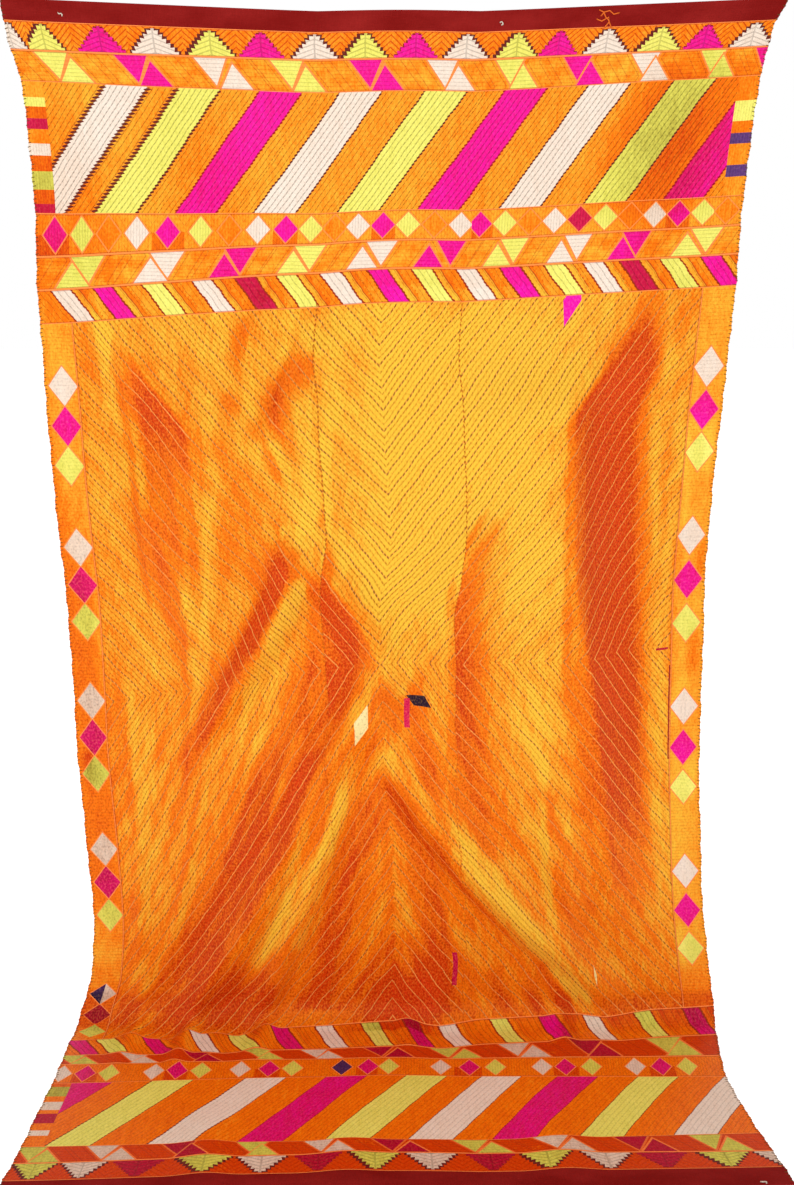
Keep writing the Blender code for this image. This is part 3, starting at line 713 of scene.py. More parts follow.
# Where the silk turns away from the light or towards it
SHEENS = (
    sheen("right_leg_under_shade", (1.44, 1.5, 1.57, 1.64, 1.71),
          (0.082, 0.112, 0.164, 0.214, 0.268), -0.16, 0.02),
    sheen("top_right_glow", (0.45, 0.493, 0.544, 0.594, 0.637, 0.69),
          (0.456, 0.456, 0.457, 0.447, 0.44, 0.436), 0.16, 0.026),
    sheen("top_right_glow_2", (0.44, 0.48, 0.52, 0.56), (0.364, 0.364, 0.362, 0.358), 0.12, 0.026),
    sheen("top_right_glow_3", (0.43, 0.47, 0.51, 0.55), (0.298, 0.298, 0.297, 0.294), 0.12, 0.022),
    sheen("right_border_top_glow", (0.65, 0.69, 0.74, 0.78), (0.548, 0.548, 0.548, 0.548), 0.2, 0.016),
    sheen("right_ridge_glow", (0.67, 0.72, 0.76, 0.81), (0.512, 0.508, 0.502, 0.496), 0.18, 0.022),
    sheen("leg_head_gap", (0.86, 0.885, 0.905, 0.93), (-0.254, -0.247, -0.238, -0.238), 0.26, 0.014),
    sheen("leg_head_spot", (0.83, 0.85, 0.87), (-0.21, -0.21, -0.208), -0.3, 0.013),
    sheen("lambda_rim_glow", (0.88, 0.91, 0.94, 0.96, 0.99, 1.02),
          (-0.084, -0.09, -0.106, -0.124, -0.16, -0.18), 0.12, 0.018),
    sheen("lambda_leg_shade", (1.1, 1.14, 1.17, 1.21), (-0.05, -0.065, -0.092, -0.112), -0.18, 0.018),
    sheen("left_border_low_shade", (1.26, 1.29, 1.32, 1.35),
          (-0.569, -0.568, -0.566, -0.564), -0.34, 0.02),
    sheen("left_border_high_glow", (1.02, 1.05, 1.08), (-0.573, -0.573, -0.572), 0.24, 0.014),
    sheen("foot_flame_middle", (1.72, 1.75, 1.79, 1.84), (0.03, 0.04, 0.05, 0.06), -0.4, 0.04),
    sheen("foot_flame_right", (1.7, 1.74, 1.78, 1.83), (0.18, 0.19, 0.2, 0.205), -0.34, 0.03),
    sheen("foot_flame_far", (1.72, 1.75, 1.79, 1.83), (0.25, 0.262, 0.272, 0.28), -0.3, 0.028),
    sheen("middle_flank_rim", (0.8, 0.842, 0.884, 0.927, 0.971, 1.02),
          (0.156, 0.138, 0.113, 0.097, 0.091, 0.092), -0.46, 0.016),
    sheen("middle_glow_less", (0.66, 0.76, 0.86, 0.95, 1.02), (0.04, 0.05, 0.08, 0.1, 0.11), -0.07, 0.15),
    sheen("left_leg_rim_shade", (1.32, 1.372, 1.442, 1.517, 1.595, 1.652, 1.7),
          (-0.104, -0.122, -0.15, -0.18, -0.21, -0.25, -0.28), -0.16, 0.015),
    sheen("leg_inner_glow", (0.92, 0.96, 1.0), (-0.176, -0.169, -0.17), 0.16, 0.018),
    sheen("right_border_foot_glow", (1.62, 1.67, 1.7, 1.74), (0.536, 0.54, 0.546, 0.556), 0.24, 0.024),
    sheen("right_border_mid_glow", (1.28, 1.32, 1.36, 1.4), (0.545, 0.546, 0.546, 0.548), 0.22, 0.016),
    sheen("right_border_shade", (0.88, 0.92, 0.95, 0.98), (0.544, 0.542, 0.54, 0.54), -0.26, 0.016),
    sheen("right_border_low_shade", (1.03, 1.08, 1.12, 1.15), (0.534, 0.534, 0.536, 0.536), -0.26, 0.018),
    sheen("chip_side_glow", (1.08, 1.11, 1.135, 1.16), (0.024, 0.024, 0.014, 0.008), 0.24, 0.014),
    sheen("right_leg_flank", (1.46, 1.51, 1.56, 1.61, 1.66, 1.705, 1.74, 1.78),
          (0.168, 0.19, 0.216, 0.244, 0.276, 0.307, 0.338, 0.372), 0.16, 0.016),
    sheen("flank_top_glow", (0.48, 0.52, 0.57, 0.63, 0.68, 0.72),
          (-0.482, -0.477, -0.468, -0.463, -0.461, -0.46), 0.14, 0.026),
    sheen("middle_left_glow", (0.98, 1.02, 1.08, 1.14, 1.18),
          (-0.34, -0.34, -0.341, -0.356, -0.364), 0.16, 0.018),
    sheen("leg_side_glow", (1.11, 1.15, 1.22, 1.28, 1.32),
          (-0.252, -0.26, -0.276, -0.291, -0.3), 0.14, 0.018),
    sheen("lambda_head_glow", (1.25, 1.275, 1.3, 1.33), (-0.022, -0.022, -0.022, -0.022), 0.18, 0.04),
    sheen("slope_glow", (1.16, 1.2, 1.25, 1.3, 1.34), (0.24, 0.248, 0.256, 0.267, 0.276), 0.12, 0.016),
    sheen("right_edge_glow", (0.64, 0.68, 0.72, 0.76, 0.8),
          (0.52, 0.527, 0.539, 0.539, 0.539), 0.2, 0.02),
    sheen("right_edge_low_glow", (1.12, 1.17, 1.22, 1.27), (0.515, 0.508, 0.5, 0.5), 0.16, 0.022),
    sheen("gold_side_glow", (0.54, 0.58, 0.62, 0.66), (-0.13, -0.116, -0.089, -0.08), 0.1, 0.03),
    sheen("leg_right_side", (0.94, 0.98, 1.015, 1.06, 1.1),
          (-0.206, -0.218, -0.237, -0.249, -0.262), -0.22, 0.02),
    sheen("seam_head_shade", (0.875, 0.898, 0.922, 0.948),
          (-0.168, -0.167, -0.167, -0.168), -0.46, 0.036),
    sheen("left_head_glow", (0.48, 0.53, 0.6, 0.66), (-0.512, -0.498, -0.49, -0.494), 0.14, 0.03),
    sheen("left_slant_shade", (0.54, 0.59, 0.64, 0.68, 0.73),
          (-0.44, -0.415, -0.388, -0.368, -0.348), -0.16, 0.022),
    sheen("top_crease_glow", (0.44, 0.475, 0.52, 0.57), (-0.27, -0.273, -0.279, -0.283), 0.14, 0.018),
    sheen("hollow_shade", (0.75, 0.79, 0.82, 0.86), (-0.29, -0.277, -0.252, -0.236), -0.22, 0.024),
    sheen("hollow_glow", (0.71, 0.745, 0.775, 0.81), (-0.32, -0.316, -0.311, -0.308), 0.14, 0.018),
    sheen("over_hollow_glow", (0.63, 0.67, 0.71, 0.75, 0.78),
          (-0.28, -0.267, -0.251, -0.232, -0.222), 0.16, 0.018),
    sheen("flank_crease", (0.66, 0.71, 0.77, 0.82, 0.87),
          (-0.44, -0.436, -0.43, -0.431, -0.43), -0.12, 0.018),
    sheen("inside_left_border", (0.58, 0.63, 0.69, 0.76, 0.83, 0.92, 1.0, 1.06),
          (-0.553, -0.553, -0.552, -0.551, -0.559, -0.55, -0.548, -0.545), -0.12, 0.024),
    sheen("beside_seam_shade", (0.85, 0.89, 0.92, 0.96, 1.0),
          (-0.134, -0.137, -0.141, -0.149, -0.155), -0.16, 0.014),
    sheen("leg_face_glow", (0.83, 0.87, 0.925, 0.98, 1.02),
          (-0.12, -0.11, -0.099, -0.099, -0.1), 0.14, 0.02),
    sheen("middle_hollow", (0.87, 0.91, 0.95, 1.0, 1.04),
          (0.205, 0.194, 0.178, 0.17, 0.165), -0.12, 0.024),
    sheen("flank_foot", (0.87, 0.91, 0.96, 1.01, 1.06), (0.335, 0.324, 0.306, 0.296, 0.29), -0.12, 0.02),
    sheen("flank_head_edge", (0.5, 0.55, 0.6, 0.64, 0.68, 0.72),
          (0.405, 0.377, 0.346, 0.316, 0.299, 0.292), -0.22, 0.02),
    sheen("right_border_high", (0.65, 0.7, 0.75, 0.81, 0.86, 0.91),
          (0.49, 0.496, 0.506, 0.506, 0.502, 0.5), 0.2, 0.024),
    sheen("right_corner_glow", (0.45, 0.49, 0.53, 0.56, 0.6),
          (0.428, 0.438, 0.448, 0.46, 0.47), 0.16, 0.022),
    sheen("left_of_point", (1.03, 1.07, 1.13, 1.17, 1.21),
          (-0.13, -0.14, -0.156, -0.164, -0.17), -0.14, 0.02),
    sheen("point_glow", (1.05, 1.09, 1.12, 1.16, 1.2), (-0.025, -0.016, -0.002, 0.012, 0.02), 0.2, 0.022),
    sheen("point_shade", (1.17, 1.21, 1.26, 1.31, 1.35),
          (-0.02, -0.004, 0.023, 0.05, 0.075), -0.22, 0.018),
    sheen("right_leg_edge", (1.47, 1.52, 1.6, 1.68, 1.72),
          (0.105, 0.135, 0.193, 0.253, 0.28), 0.2, 0.018),
    sheen("under_point", (1.38, 1.43, 1.51, 1.6, 1.68, 1.72),
          (-0.024, -0.022, -0.017, -0.013, -0.013, -0.012), -0.16, 0.018),
    sheen("inside_right_leg", (1.57, 1.61, 1.67, 1.73, 1.77),
          (0.128, 0.138, 0.154, 0.169, 0.18), -0.14, 0.018),
    sheen("left_leg_outer", (1.4, 1.45, 1.51, 1.58, 1.64, 1.68),
          (-0.335, -0.349, -0.367, -0.384, -0.402, -0.41), -0.16, 0.018),
    sheen("left_leg_crease", (1.1, 1.14, 1.21, 1.28, 1.34, 1.42, 1.46),
          (-0.06, -0.08, -0.111, -0.148, -0.18, -0.214, -0.235), -0.18, 0.016),
    sheen("left_leg_rim", (1.15, 1.19, 1.24, 1.29, 1.33),
          (-0.06, -0.074, -0.092, -0.111, -0.125), 0.14, 0.014),
    sheen("left_leg_low_glow", (1.52, 1.56, 1.63, 1.7, 1.74),
          (-0.185, -0.2, -0.224, -0.257, -0.275), 0.16, 0.018),
    sheen("left_foot_crease", (1.66, 1.7, 1.745, 1.79, 1.81),
          (-0.12, -0.138, -0.167, -0.187, -0.2), -0.16, 0.022),
    sheen("right_slope_glow", (1.2, 1.24, 1.29, 1.34, 1.38),
          (0.225, 0.247, 0.276, 0.299, 0.31), 0.14, 0.018),
    sheen("left_low_streak", (1.29, 1.33, 1.4, 1.47, 1.52),
          (-0.402, -0.401, -0.395, -0.407, -0.415), 0.12, 0.018),
    sheen("outer_leg_glow", (1.11, 1.15, 1.24, 1.31, 1.36),
          (-0.315, -0.327, -0.349, -0.363, -0.37), 0.12, 0.016),
    sheen("right_foot_crease", (1.67, 1.72, 1.76, 1.79, 1.81),
          (0.278, 0.289, 0.303, 0.317, 0.32), -0.4, 0.024),
    sheen("right_leg_foot_glow", (1.65, 1.69, 1.73, 1.77, 1.8),
          (0.295, 0.317, 0.339, 0.36, 0.375), 0.22, 0.016),
    sheen("right_low_glow", (1.25, 1.3, 1.385, 1.49, 1.54),
          (0.452, 0.456, 0.469, 0.484, 0.49), 0.1, 0.024),
    sheen("right_low_shade", (1.32, 1.36, 1.45, 1.53, 1.58),
          (0.322, 0.333, 0.355, 0.379, 0.39), -0.1, 0.02),
    sheen("middle_slope_glow", (1.0, 1.05, 1.125, 1.18, 1.23),
          (0.175, 0.18, 0.191, 0.21, 0.22), 0.08, 0.04),
    sheen("left_slope_glow", (0.93, 0.98, 1.04, 1.1, 1.15, 1.19),
          (-0.51, -0.497, -0.472, -0.447, -0.422, -0.41), 0.14, 0.02),
    sheen("outer_leg_shade", (0.89, 0.93, 0.99, 1.03, 1.07),
          (-0.3, -0.303, -0.31, -0.323, -0.335), -0.14, 0.018),
    sheen("right_flank", (0.42, 0.49, 0.6, 0.71, 0.85, 1.0, 1.14, 1.29, 1.46, 1.62),
          (0.445, 0.418, 0.388, 0.366, 0.37, 0.376, 0.384, 0.398, 0.418, 0.436),
          (-0.02, -0.26, -0.54, -0.66, -0.68, -0.66, -0.58, -0.4, -0.16, 0.0), 0.072, 0.092, -0.9),
    sheen("right_flank_left_edge", (0.52, 0.59, 0.67, 0.77, 0.87, 0.93),
          (0.345, 0.318, 0.296, 0.292, 0.295, 0.298),
          (0.0, -0.18, -0.2, -0.2, -0.16, 0.0), 0.028, 0.03, 0.3),
    sheen("right_flank_right_edge", (0.95, 1.05, 1.19, 1.38, 1.55, 1.62),
          (0.453, 0.456, 0.461, 0.473, 0.5, 0.505), (0.0, 0.1, 0.12, 0.12, 0.1, 0.0), 0.025),
    sheen("right_top_glow", (0.43, 0.49, 0.54, 0.59),
          (0.405, 0.394, 0.381, 0.372), (0.0, 0.22, 0.2, 0.0), 0.022, 0.02),
    sheen("right_top_glow_outer", (0.43, 0.48, 0.54, 0.6, 0.65),
          (0.464, 0.466, 0.471, 0.467, 0.466), (0.0, 0.2, 0.2, 0.18, 0.0), 0.022),
    sheen("left_flank", (0.46, 0.55, 0.67, 0.78, 0.9, 1.02),
          (-0.452, -0.438, -0.42, -0.412, -0.407, -0.403),
          (0.0, -0.16, -0.22, -0.22, -0.14, 0.0), 0.05, 0.07, -0.3),
    sheen("left_border_shade", (0.5, 0.6, 0.76, 0.92, 1.07, 1.22, 1.37, 1.53, 1.7),
          (-0.63, -0.626, -0.616, -0.592, -0.572, -0.556, -0.544, -0.546, -0.56),
          (0.0, -0.16, -0.22, -0.26, -0.34, -0.38, -0.36, -0.24, 0.0), 0.08, 0.046, -0.5),
    sheen("left_inner_glow", (0.42, 0.48, 0.56, 0.64, 0.7),
          (-0.512, -0.508, -0.502, -0.492, -0.484), (0.0, 0.3, 0.36, 0.3, 0.0), 0.028, 0.032),
    sheen("left_low_glow", (0.72, 0.8, 0.89, 0.99, 1.09, 1.16),
          (-0.512, -0.495, -0.473, -0.443, -0.419, -0.405),
          (0.0, 0.14, 0.16, 0.16, 0.14, 0.0), 0.044, 0.048),
    sheen("left_upper_shade", (0.52, 0.58, 0.65, 0.71, 0.78),
          (-0.37, -0.36, -0.356, -0.352, -0.346), (0.0, -0.24, -0.3, -0.2, 0.0), 0.04),
    sheen("crease_head_glow", (0.62, 0.66, 0.7, 0.75),
          (-0.246, -0.24, -0.23, -0.222), (0.0, 0.26, 0.3, 0.0), 0.026),
    sheen("patch_side_shade", (0.57, 0.61, 0.65, 0.69), (-0.34, -0.318, -0.29, -0.27), -0.18, 0.04, 0.06),
    sheen("seam_glow", (0.66, 0.7, 0.74, 0.79, 0.83, 0.88),
          (-0.158, -0.156, -0.152, -0.149, -0.152, -0.176),
          (0.0, 0.24, 0.34, 0.38, 0.34, 0.0), 0.026, 0.024),
    sheen("seam_low_shade", (0.95, 1.0, 1.05, 1.1, 1.15),
          (-0.144, -0.145, -0.145, -0.148, -0.15), (0.0, -0.24, -0.26, -0.2, 0.0), 0.024),
    sheen("left_inner_shade", (1.06, 1.15, 1.26, 1.35, 1.44),
          (-0.512, -0.514, -0.513, -0.504, -0.498), (0.0, -0.22, -0.24, -0.2, 0.0), 0.026, 0.034),
    sheen("left_fleck_glow", (1.2, 1.26, 1.33, 1.4), (-0.452, -0.454, -0.457, -0.46), 0.22, 0.02, 0.018),
    sheen("left_top_glow", (0.44, 0.49, 0.54, 0.59, 0.64),
          (-0.318, -0.31, -0.293, -0.288, -0.286), (0.0, 0.2, 0.2, 0.16, 0.0), 0.022, 0.02, 0.2),
    sheen("left_top_shade", (0.43, 0.465, 0.5, 0.55),
          (-0.222, -0.23, -0.241, -0.252), (0.0, -0.24, -0.22, 0.0), 0.026),
    sheen("left_top_glow_inner", (0.43, 0.48, 0.55, 0.61),
          (-0.18, -0.182, -0.191, -0.203), (0.0, 0.2, 0.18, 0.0), 0.02, 0.022),
    sheen("left_crease", (0.6, 0.64, 0.68, 0.73), (-0.3, -0.276, -0.262, -0.25), -0.14, 0.04, 0.032),
    sheen("left_crease_glow", (0.76, 0.82, 0.9, 0.97, 1.02),
          (-0.322, -0.324, -0.334, -0.344, -0.35), (0.0, 0.2, 0.24, 0.16, 0.0), 0.024, 0.026),
    sheen("left_crease_shade", (0.86, 0.92, 0.99, 1.05, 1.1),
          (-0.352, -0.358, -0.358, -0.368, -0.38), (0.0, -0.22, -0.26, -0.2, 0.0), 0.022, 0.024),
    sheen("beside_upper_leg_glow", (0.83, 0.87, 0.92, 0.98),
          (-0.264, -0.266, -0.275, -0.294), (0.0, 0.12, 0.1, 0.0), 0.022, 0.02),
    sheen("above_seam_ridge_glow", (0.66, 0.71, 0.76, 0.82, 0.87),
          (-0.222, -0.212, -0.196, -0.176, -0.166), (0.0, 0.1, 0.12, 0.16, 0.0), 0.034),
    sheen("lower_left_glow", (0.9, 0.98, 1.05, 1.11, 1.16),
          (-0.386, -0.374, -0.366, -0.36, -0.356), (0.0, 0.2, 0.34, 0.3, 0.0), 0.032, 0.03),
    sheen("between_legs_glow", (1.02, 1.08, 1.16, 1.24, 1.32),
          (-0.196, -0.206, -0.228, -0.252, -0.29), (0.0, 0.2, 0.22, 0.2, 0.0), 0.036),
    sheen("leg_fork_glow", (1.2, 1.26, 1.33, 1.4, 1.46),
          (-0.176, -0.19, -0.21, -0.236, -0.262), (0.0, 0.18, 0.26, 0.2, 0.0), 0.022),
    sheen("upper_leg", (0.85, 0.872, 0.92, 0.99, 1.07, 1.16, 1.26, 1.38, 1.5),
          (-0.2, -0.196, -0.2, -0.23, -0.272, -0.322, -0.362, -0.396, -0.43),
          (0.0, -0.4, -0.74, -0.74, -0.64, -0.46, -0.34, -0.18, 0.0), 0.033, 0.04, -0.1),
    sheen("middle_leg", (1.06, 1.16, 1.28, 1.4, 1.53, 1.66, 1.8),
          (-0.12, -0.145, -0.192, -0.248, -0.305, -0.368, -0.447),
          (0.0, -0.4, -0.5, -0.54, -0.54, -0.5, -0.2), 0.082, 0.074, -0.5),
    sheen("middle_leg_glint", (1.1, 1.2, 1.32, 1.46, 1.6),
          (-0.168, -0.195, -0.238, -0.29, -0.34), (0.0, 0.26, 0.28, 0.2, 0.0), 0.022, 0.018, 0.4),
    sheen("bright_left_leg", (1.3, 1.36, 1.43, 1.57, 1.7, 1.79),
          (-0.106, -0.114, -0.136, -0.2, -0.268, -0.312),
          (0.0, 0.2, 0.28, 0.4, 0.38, 0.0), 0.03, 0.038, -0.2),
    sheen("between_legs_shade", (1.22, 1.3, 1.38, 1.45, 1.53, 1.59, 1.66),
          (-0.158, -0.175, -0.191, -0.21, -0.242, -0.272, -0.3),
          (0.0, -0.3, -0.36, -0.38, -0.32, -0.26, 0.0), 0.034),
    sheen("between_legs_rim", (1.2, 1.25, 1.3, 1.36, 1.41),
          (-0.172, -0.183, -0.198, -0.219, -0.236), (0.0, 0.34, 0.36, 0.28, 0.0), 0.02, 0.016),
    sheen("lambda_left_rim", (1.22, 1.29, 1.36, 1.43, 1.5),
          (-0.082, -0.096, -0.108, -0.122, -0.134), (0.0, 0.14, 0.22, 0.2, 0.0), 0.018, 0.02),
    sheen("left_of_apex_shade", (1.14, 1.22, 1.3, 1.38, 1.46),
          (-0.07, -0.094, -0.124, -0.142, -0.16), (0.0, -0.16, -0.26, -0.22, 0.0), 0.04),
    sheen("bright_right_leg", (1.28, 1.344, 1.42, 1.516, 1.6, 1.68, 1.76, 1.81),
          (0.048, 0.076, 0.112, 0.166, 0.226, 0.284, 0.34, 0.366),
          (0.0, 0.18, 0.26, 0.4, 0.6, 0.66, 0.58, 0.34), 0.036, crisp=-0.2),
    sheen("under_right_leg_shade", (1.4, 1.46, 1.52, 1.58, 1.64),
          (0.066, 0.084, 0.118, 0.158, 0.196), (0.0, -0.12, -0.16, -0.12, 0.0), 0.03, 0.02),
    sheen("right_of_apex_shade", (1.12, 1.17, 1.24, 1.31, 1.42, 1.52),
          (0.014, 0.024, 0.042, 0.062, 0.086, 0.1), (0.0, -0.34, -0.44, -0.4, -0.28, 0.0), 0.034, 0.044),
    sheen("above_right_leg_shade", (1.3, 1.36, 1.43, 1.5),
          (0.112, 0.128, 0.156, 0.194), (0.0, -0.16, -0.24, 0.0), 0.022, 0.03),
    sheen("under_apex_left", (1.28, 1.38, 1.5, 1.62, 1.8),
          (-0.025, -0.058, -0.092, -0.12, -0.15), (0.0, -0.3, -0.4, -0.46, -0.4), 0.06, 0.08),
    sheen("under_apex_right", (1.28, 1.38, 1.5, 1.62, 1.8),
          (-0.01, 0.018, 0.048, 0.072, 0.084), (0.0, -0.26, -0.36, -0.46, -0.4), 0.06, 0.045),
    sheen("above_apex_glow", (1.04, 1.09, 1.14, 1.19), (0.012, 0.014, 0.014, 0.012), 0.15, 0.035, 0.03),
    sheen("left_leg_glow", (0.86, 0.93, 1.02, 1.12, 1.24, 1.37, 1.54, 1.7),
          (-0.15, -0.165, -0.205, -0.25, -0.302, -0.354, -0.408, -0.44),
          (0.0, 0.2, 0.3, 0.3, 0.14, 0.0, -0.06, 0.0), 0.05, 0.032),
    sheen("left_foot_shade", (1.46, 1.58, 1.68, 1.78),
          (-0.52, -0.52, -0.5, -0.48), (0.0, -0.08, -0.1, 0.0), 0.06, 0.12),
    sheen("right_glow", (0.66, 0.82, 0.98, 1.17, 1.4, 1.6),
          (0.225, 0.228, 0.236, 0.248, 0.275, 0.305), (0.0, 0.06, 0.14, 0.2, 0.18, 0.0), 0.07, 0.06, -0.4),
    sheen("beside_flank_shade", (1.06, 1.16, 1.26, 1.36, 1.44),
          (0.308, 0.315, 0.336, 0.35, 0.36), (0.0, -0.18, -0.2, -0.18, 0.0), 0.03),
    sheen("beside_border_glow", (0.62, 0.7, 0.79, 0.88, 0.96),
          (0.452, 0.45, 0.452, 0.458, 0.46), (0.0, 0.2, 0.22, 0.18, 0.0), 0.02, 0.022),
    sheen("right_border_glow", (1.22, 1.32, 1.44, 1.56, 1.64),
          (0.515, 0.508, 0.508, 0.516, 0.524), (0.0, 0.18, 0.2, 0.12, 0.0), 0.046, 0.06),
    sheen("right_streak", (1.28, 1.36, 1.45, 1.57, 1.64),
          (0.28, 0.284, 0.292, 0.309, 0.315), (0.0, -0.24, -0.28, -0.18, 0.0), 0.024, 0.026),
    sheen("seam_patch_upper", (0.48, 0.52, 0.56, 0.62),
          (-0.262, -0.272, -0.286, -0.298), -0.22, 0.03, 0.026),
    sheen("seam_patch_lower", (0.58, 0.64, 0.71, 0.78),
          (-0.288, -0.292, -0.298, -0.3), -0.14, 0.03, 0.034),
    sheen("upper_glow", (0.44, 0.55, 0.72, 0.9, 1.1),
          (0.06, 0.065, 0.07, 0.075, 0.04), (0.14, 0.34, 0.36, 0.34, 0.0), 0.2, 0.26, -1.2),
    sheen("upper_right_shade", (0.06, 0.12, 0.2, 0.3, 0.36),
          (0.51, 0.47, 0.43, 0.4, 0.39), (0.0, -0.26, -0.34, -0.26, 0.0), 0.12, 0.2, -0.6),
    sheen("upper_left_shade", (0.3, 0.36, 0.42, 0.48), (-0.64, -0.62, -0.6, -0.58), -0.14, 0.08, 0.12),
    sheen("foot_dark_left", (1.6, 1.68, 1.76, 1.84),
          (-0.3, -0.3, -0.31, -0.32), (0.0, -0.2, -0.44, -0.14), 0.14, 0.16, -0.4),
    sheen("foot_dark_middle", (1.6, 1.7, 1.77, 1.85),
          (0.03, 0.03, 0.02, 0.01), (0.0, -0.5, -0.85, -0.6), 0.15, 0.1),
)
# Sheens that end at a seam, so that only one of the three lengths has them
SEAM_SHEENS = {
    "panel_left": (
        sheen("seam_patch", (0.54, 0.575, 0.605, 0.635, 0.665, 0.69, 0.712),
              (-0.142, -0.166, -0.192, -0.208, -0.215, -0.222, -0.226),
              (0.0, -0.42, -0.56, -0.62, -0.56, -0.34, 0.0), 0.056, 0.052),
    ),
    "panel_middle": (
        sheen("beside_seam_glow", (0.66, 0.72, 0.79, 0.84, 0.88),
              (-0.134, -0.13, -0.128, -0.13, -0.134), (0.0, 0.26, 0.32, 0.34, 0.0), 0.03, 0.026),
        sheen("beside_patch_glow", (0.52, 0.57, 0.63, 0.7, 0.76),
              (-0.103, -0.105, -0.108, -0.125, -0.145), (0.0, 0.15, 0.18, 0.15, 0.0), 0.03),
        sheen("middle_leg_top", (0.83, 0.87, 0.91, 0.96, 1.03, 1.11, 1.24),
              (-0.176, -0.16, -0.14, -0.112, -0.091, -0.096, -0.15),
              (0.0, -0.6, -0.5, -0.42, -0.46, -0.48, 0.0), 0.084, 0.05, -0.4),
        sheen("middle_leg_rim", (0.83, 0.88, 0.94, 1.01, 1.06, 1.12),
              (-0.14, -0.125, -0.082, -0.05, -0.033, -0.02), (0.0, -0.2, -0.22, -0.22, -0.18, 0.0), 0.035),
    ),
    "panel_right": (
        sheen("right_middle", (0.76, 0.81, 0.86, 0.92, 1.02, 1.11, 1.27, 1.46, 1.6),
              (0.176, 0.162, 0.134, 0.108, 0.098, 0.102, 0.13, 0.18, 0.225),
              (0.0, -0.36, -0.5, -0.52, -0.44, -0.34, -0.26, -0.16, 0.0), 0.036, 0.066, -0.2),
    ),
}


def painted_light_tone(cloth, panel, across, down):
    """Painted sheen and shade: how golden the silk looks, less where it turns outwards or to the floor."""
    normal = cloth.normal(across, down)
    side = np.tanh((np.asarray(across) - CLOTH_WIDTH / 2) / TONE_MIDDLE_WIDTH)
    length = smooth_through(LENGTH_ACROSS, LENGTH_AT, np.asarray(across) / CLOTH_WIDTH)
    run = down * length / CLOTH_LENGTH
    face_y, face_z = hang_and_lie(run)[2:]
    outwards = side * normal[..., 0]
    downwards = -face_z * normal[..., 1] + face_y * normal[..., 2]
    lying = smooth_step((run - (FLOOR_DROP - 2 * BEND_RADIUS)) / (3 * BEND_RADIUS))
    tone = TONE_HANGING + (TONE_LYING - TONE_HANGING) * lying
    tone = tone - TONE_SIDEWAYS * outwards - TONE_DOWNWARDS * downwards
    tone = tone + smooth_through(FOOT_DOWN, FOOT_TONE, down, level_ends=True)
    return np.clip(tone + cloth.change_of_tone(panel, across, down), LOWEST_TONE, HIGHEST_TONE)


# ---- Shaders, written as arithmetic ----------------------------------------------------
def arithmetic(operation, swapped=False):
    """A method that puts a wire and another value through a Math node."""
    def method(self, other):
        return maths(operation, other, self) if swapped else maths(operation, self, other)
    return method


class Wire:
    """A value in a material's nodes, which can be added to, multiplied and compared."""

    def __init__(self, tree, socket):
        self.tree = tree
        self.socket = socket

    __add__ = arithmetic("ADD")
    __radd__ = arithmetic("ADD", swapped=True)
    __sub__ = arithmetic("SUBTRACT")
    __rsub__ = arithmetic("SUBTRACT", swapped=True)
    __mul__ = arithmetic("MULTIPLY")
    __rmul__ = arithmetic("MULTIPLY", swapped=True)
    __truediv__ = arithmetic("DIVIDE")
    __lt__ = arithmetic("LESS_THAN")
    __gt__ = arithmetic("GREATER_THAN")


def connect(node, name, value):
    """Give a node's input a wire or a plain value."""
    if isinstance(value, Wire):
        value.tree.links.new(value.socket, node.inputs[name])
    else:
        node.inputs[name].default_value = value


def maths(operation, *values):
    """A Math node on wires and numbers."""
    tree = next(value.tree for value in values if isinstance(value, Wire))
    node = tree.nodes.new("ShaderNodeMath")
    node.operation = operation
    for number, value in enumerate(values):
        connect(node, number, value)
    return Wire(tree, node.outputs[0])


absolute = partial(maths, "ABSOLUTE")
fraction = partial(maths, "FRACT")
whole = partial(maths, "FLOOR")
least = partial(maths, "MINIMUM")
most = partial(maths, "MAXIMUM")


def within(value):
    """The value, kept from 0 to 1."""
    return most(least(value, 1.0), 0.0)


def zigzag(value):
    """From 0 up to 1 and back in each unit of the value."""
    return 1.0 - absolute(fraction(value) - 0.5) * 2.0


def row_lines(value, width):
    """1 in a narrow line once in each unit of the value."""
    return absolute(fraction(value) - 0.5) < width / 2


def noise(tree, x, y, detail=2.0):
    """Soft noise from 0 to 1 at a place in units of its grain."""
    place = tree.nodes.new("ShaderNodeCombineXYZ")
    connect(place, 0, x)
    connect(place, 1, y)
    node = tree.nodes.new("ShaderNodeTexNoise")
    node.noise_dimensions = "2D"
    node.inputs["Scale"].default_value = 1.0
    node.inputs["Detail"].default_value = detail
    tree.links.new(place.outputs[0], node.inputs["Vector"])
    return Wire(tree, node.outputs[0])


def blend(low, high, share):
    """A colour between two colours."""
    node = share.tree.nodes.new("ShaderNodeMix")
    node.data_type = "RGBA"
    connect(node, "Factor", share)
    for name, colour in (("A", low), ("B", high)):
        socket = next(s for s in node.inputs if s.name == name and s.type == "RGBA")
        if isinstance(colour, Wire):
            share.tree.links.new(colour.socket, socket)
        else:
            socket.default_value = (*colour, 1.0)
    output = next(s for s in node.outputs if s.type == "RGBA")
    return Wire(share.tree, output)


def shaded(colour, amount):
    """A colour made darker by a share that a wire gives."""
    return blend(colour, (0.0, 0.0, 0.0), amount)


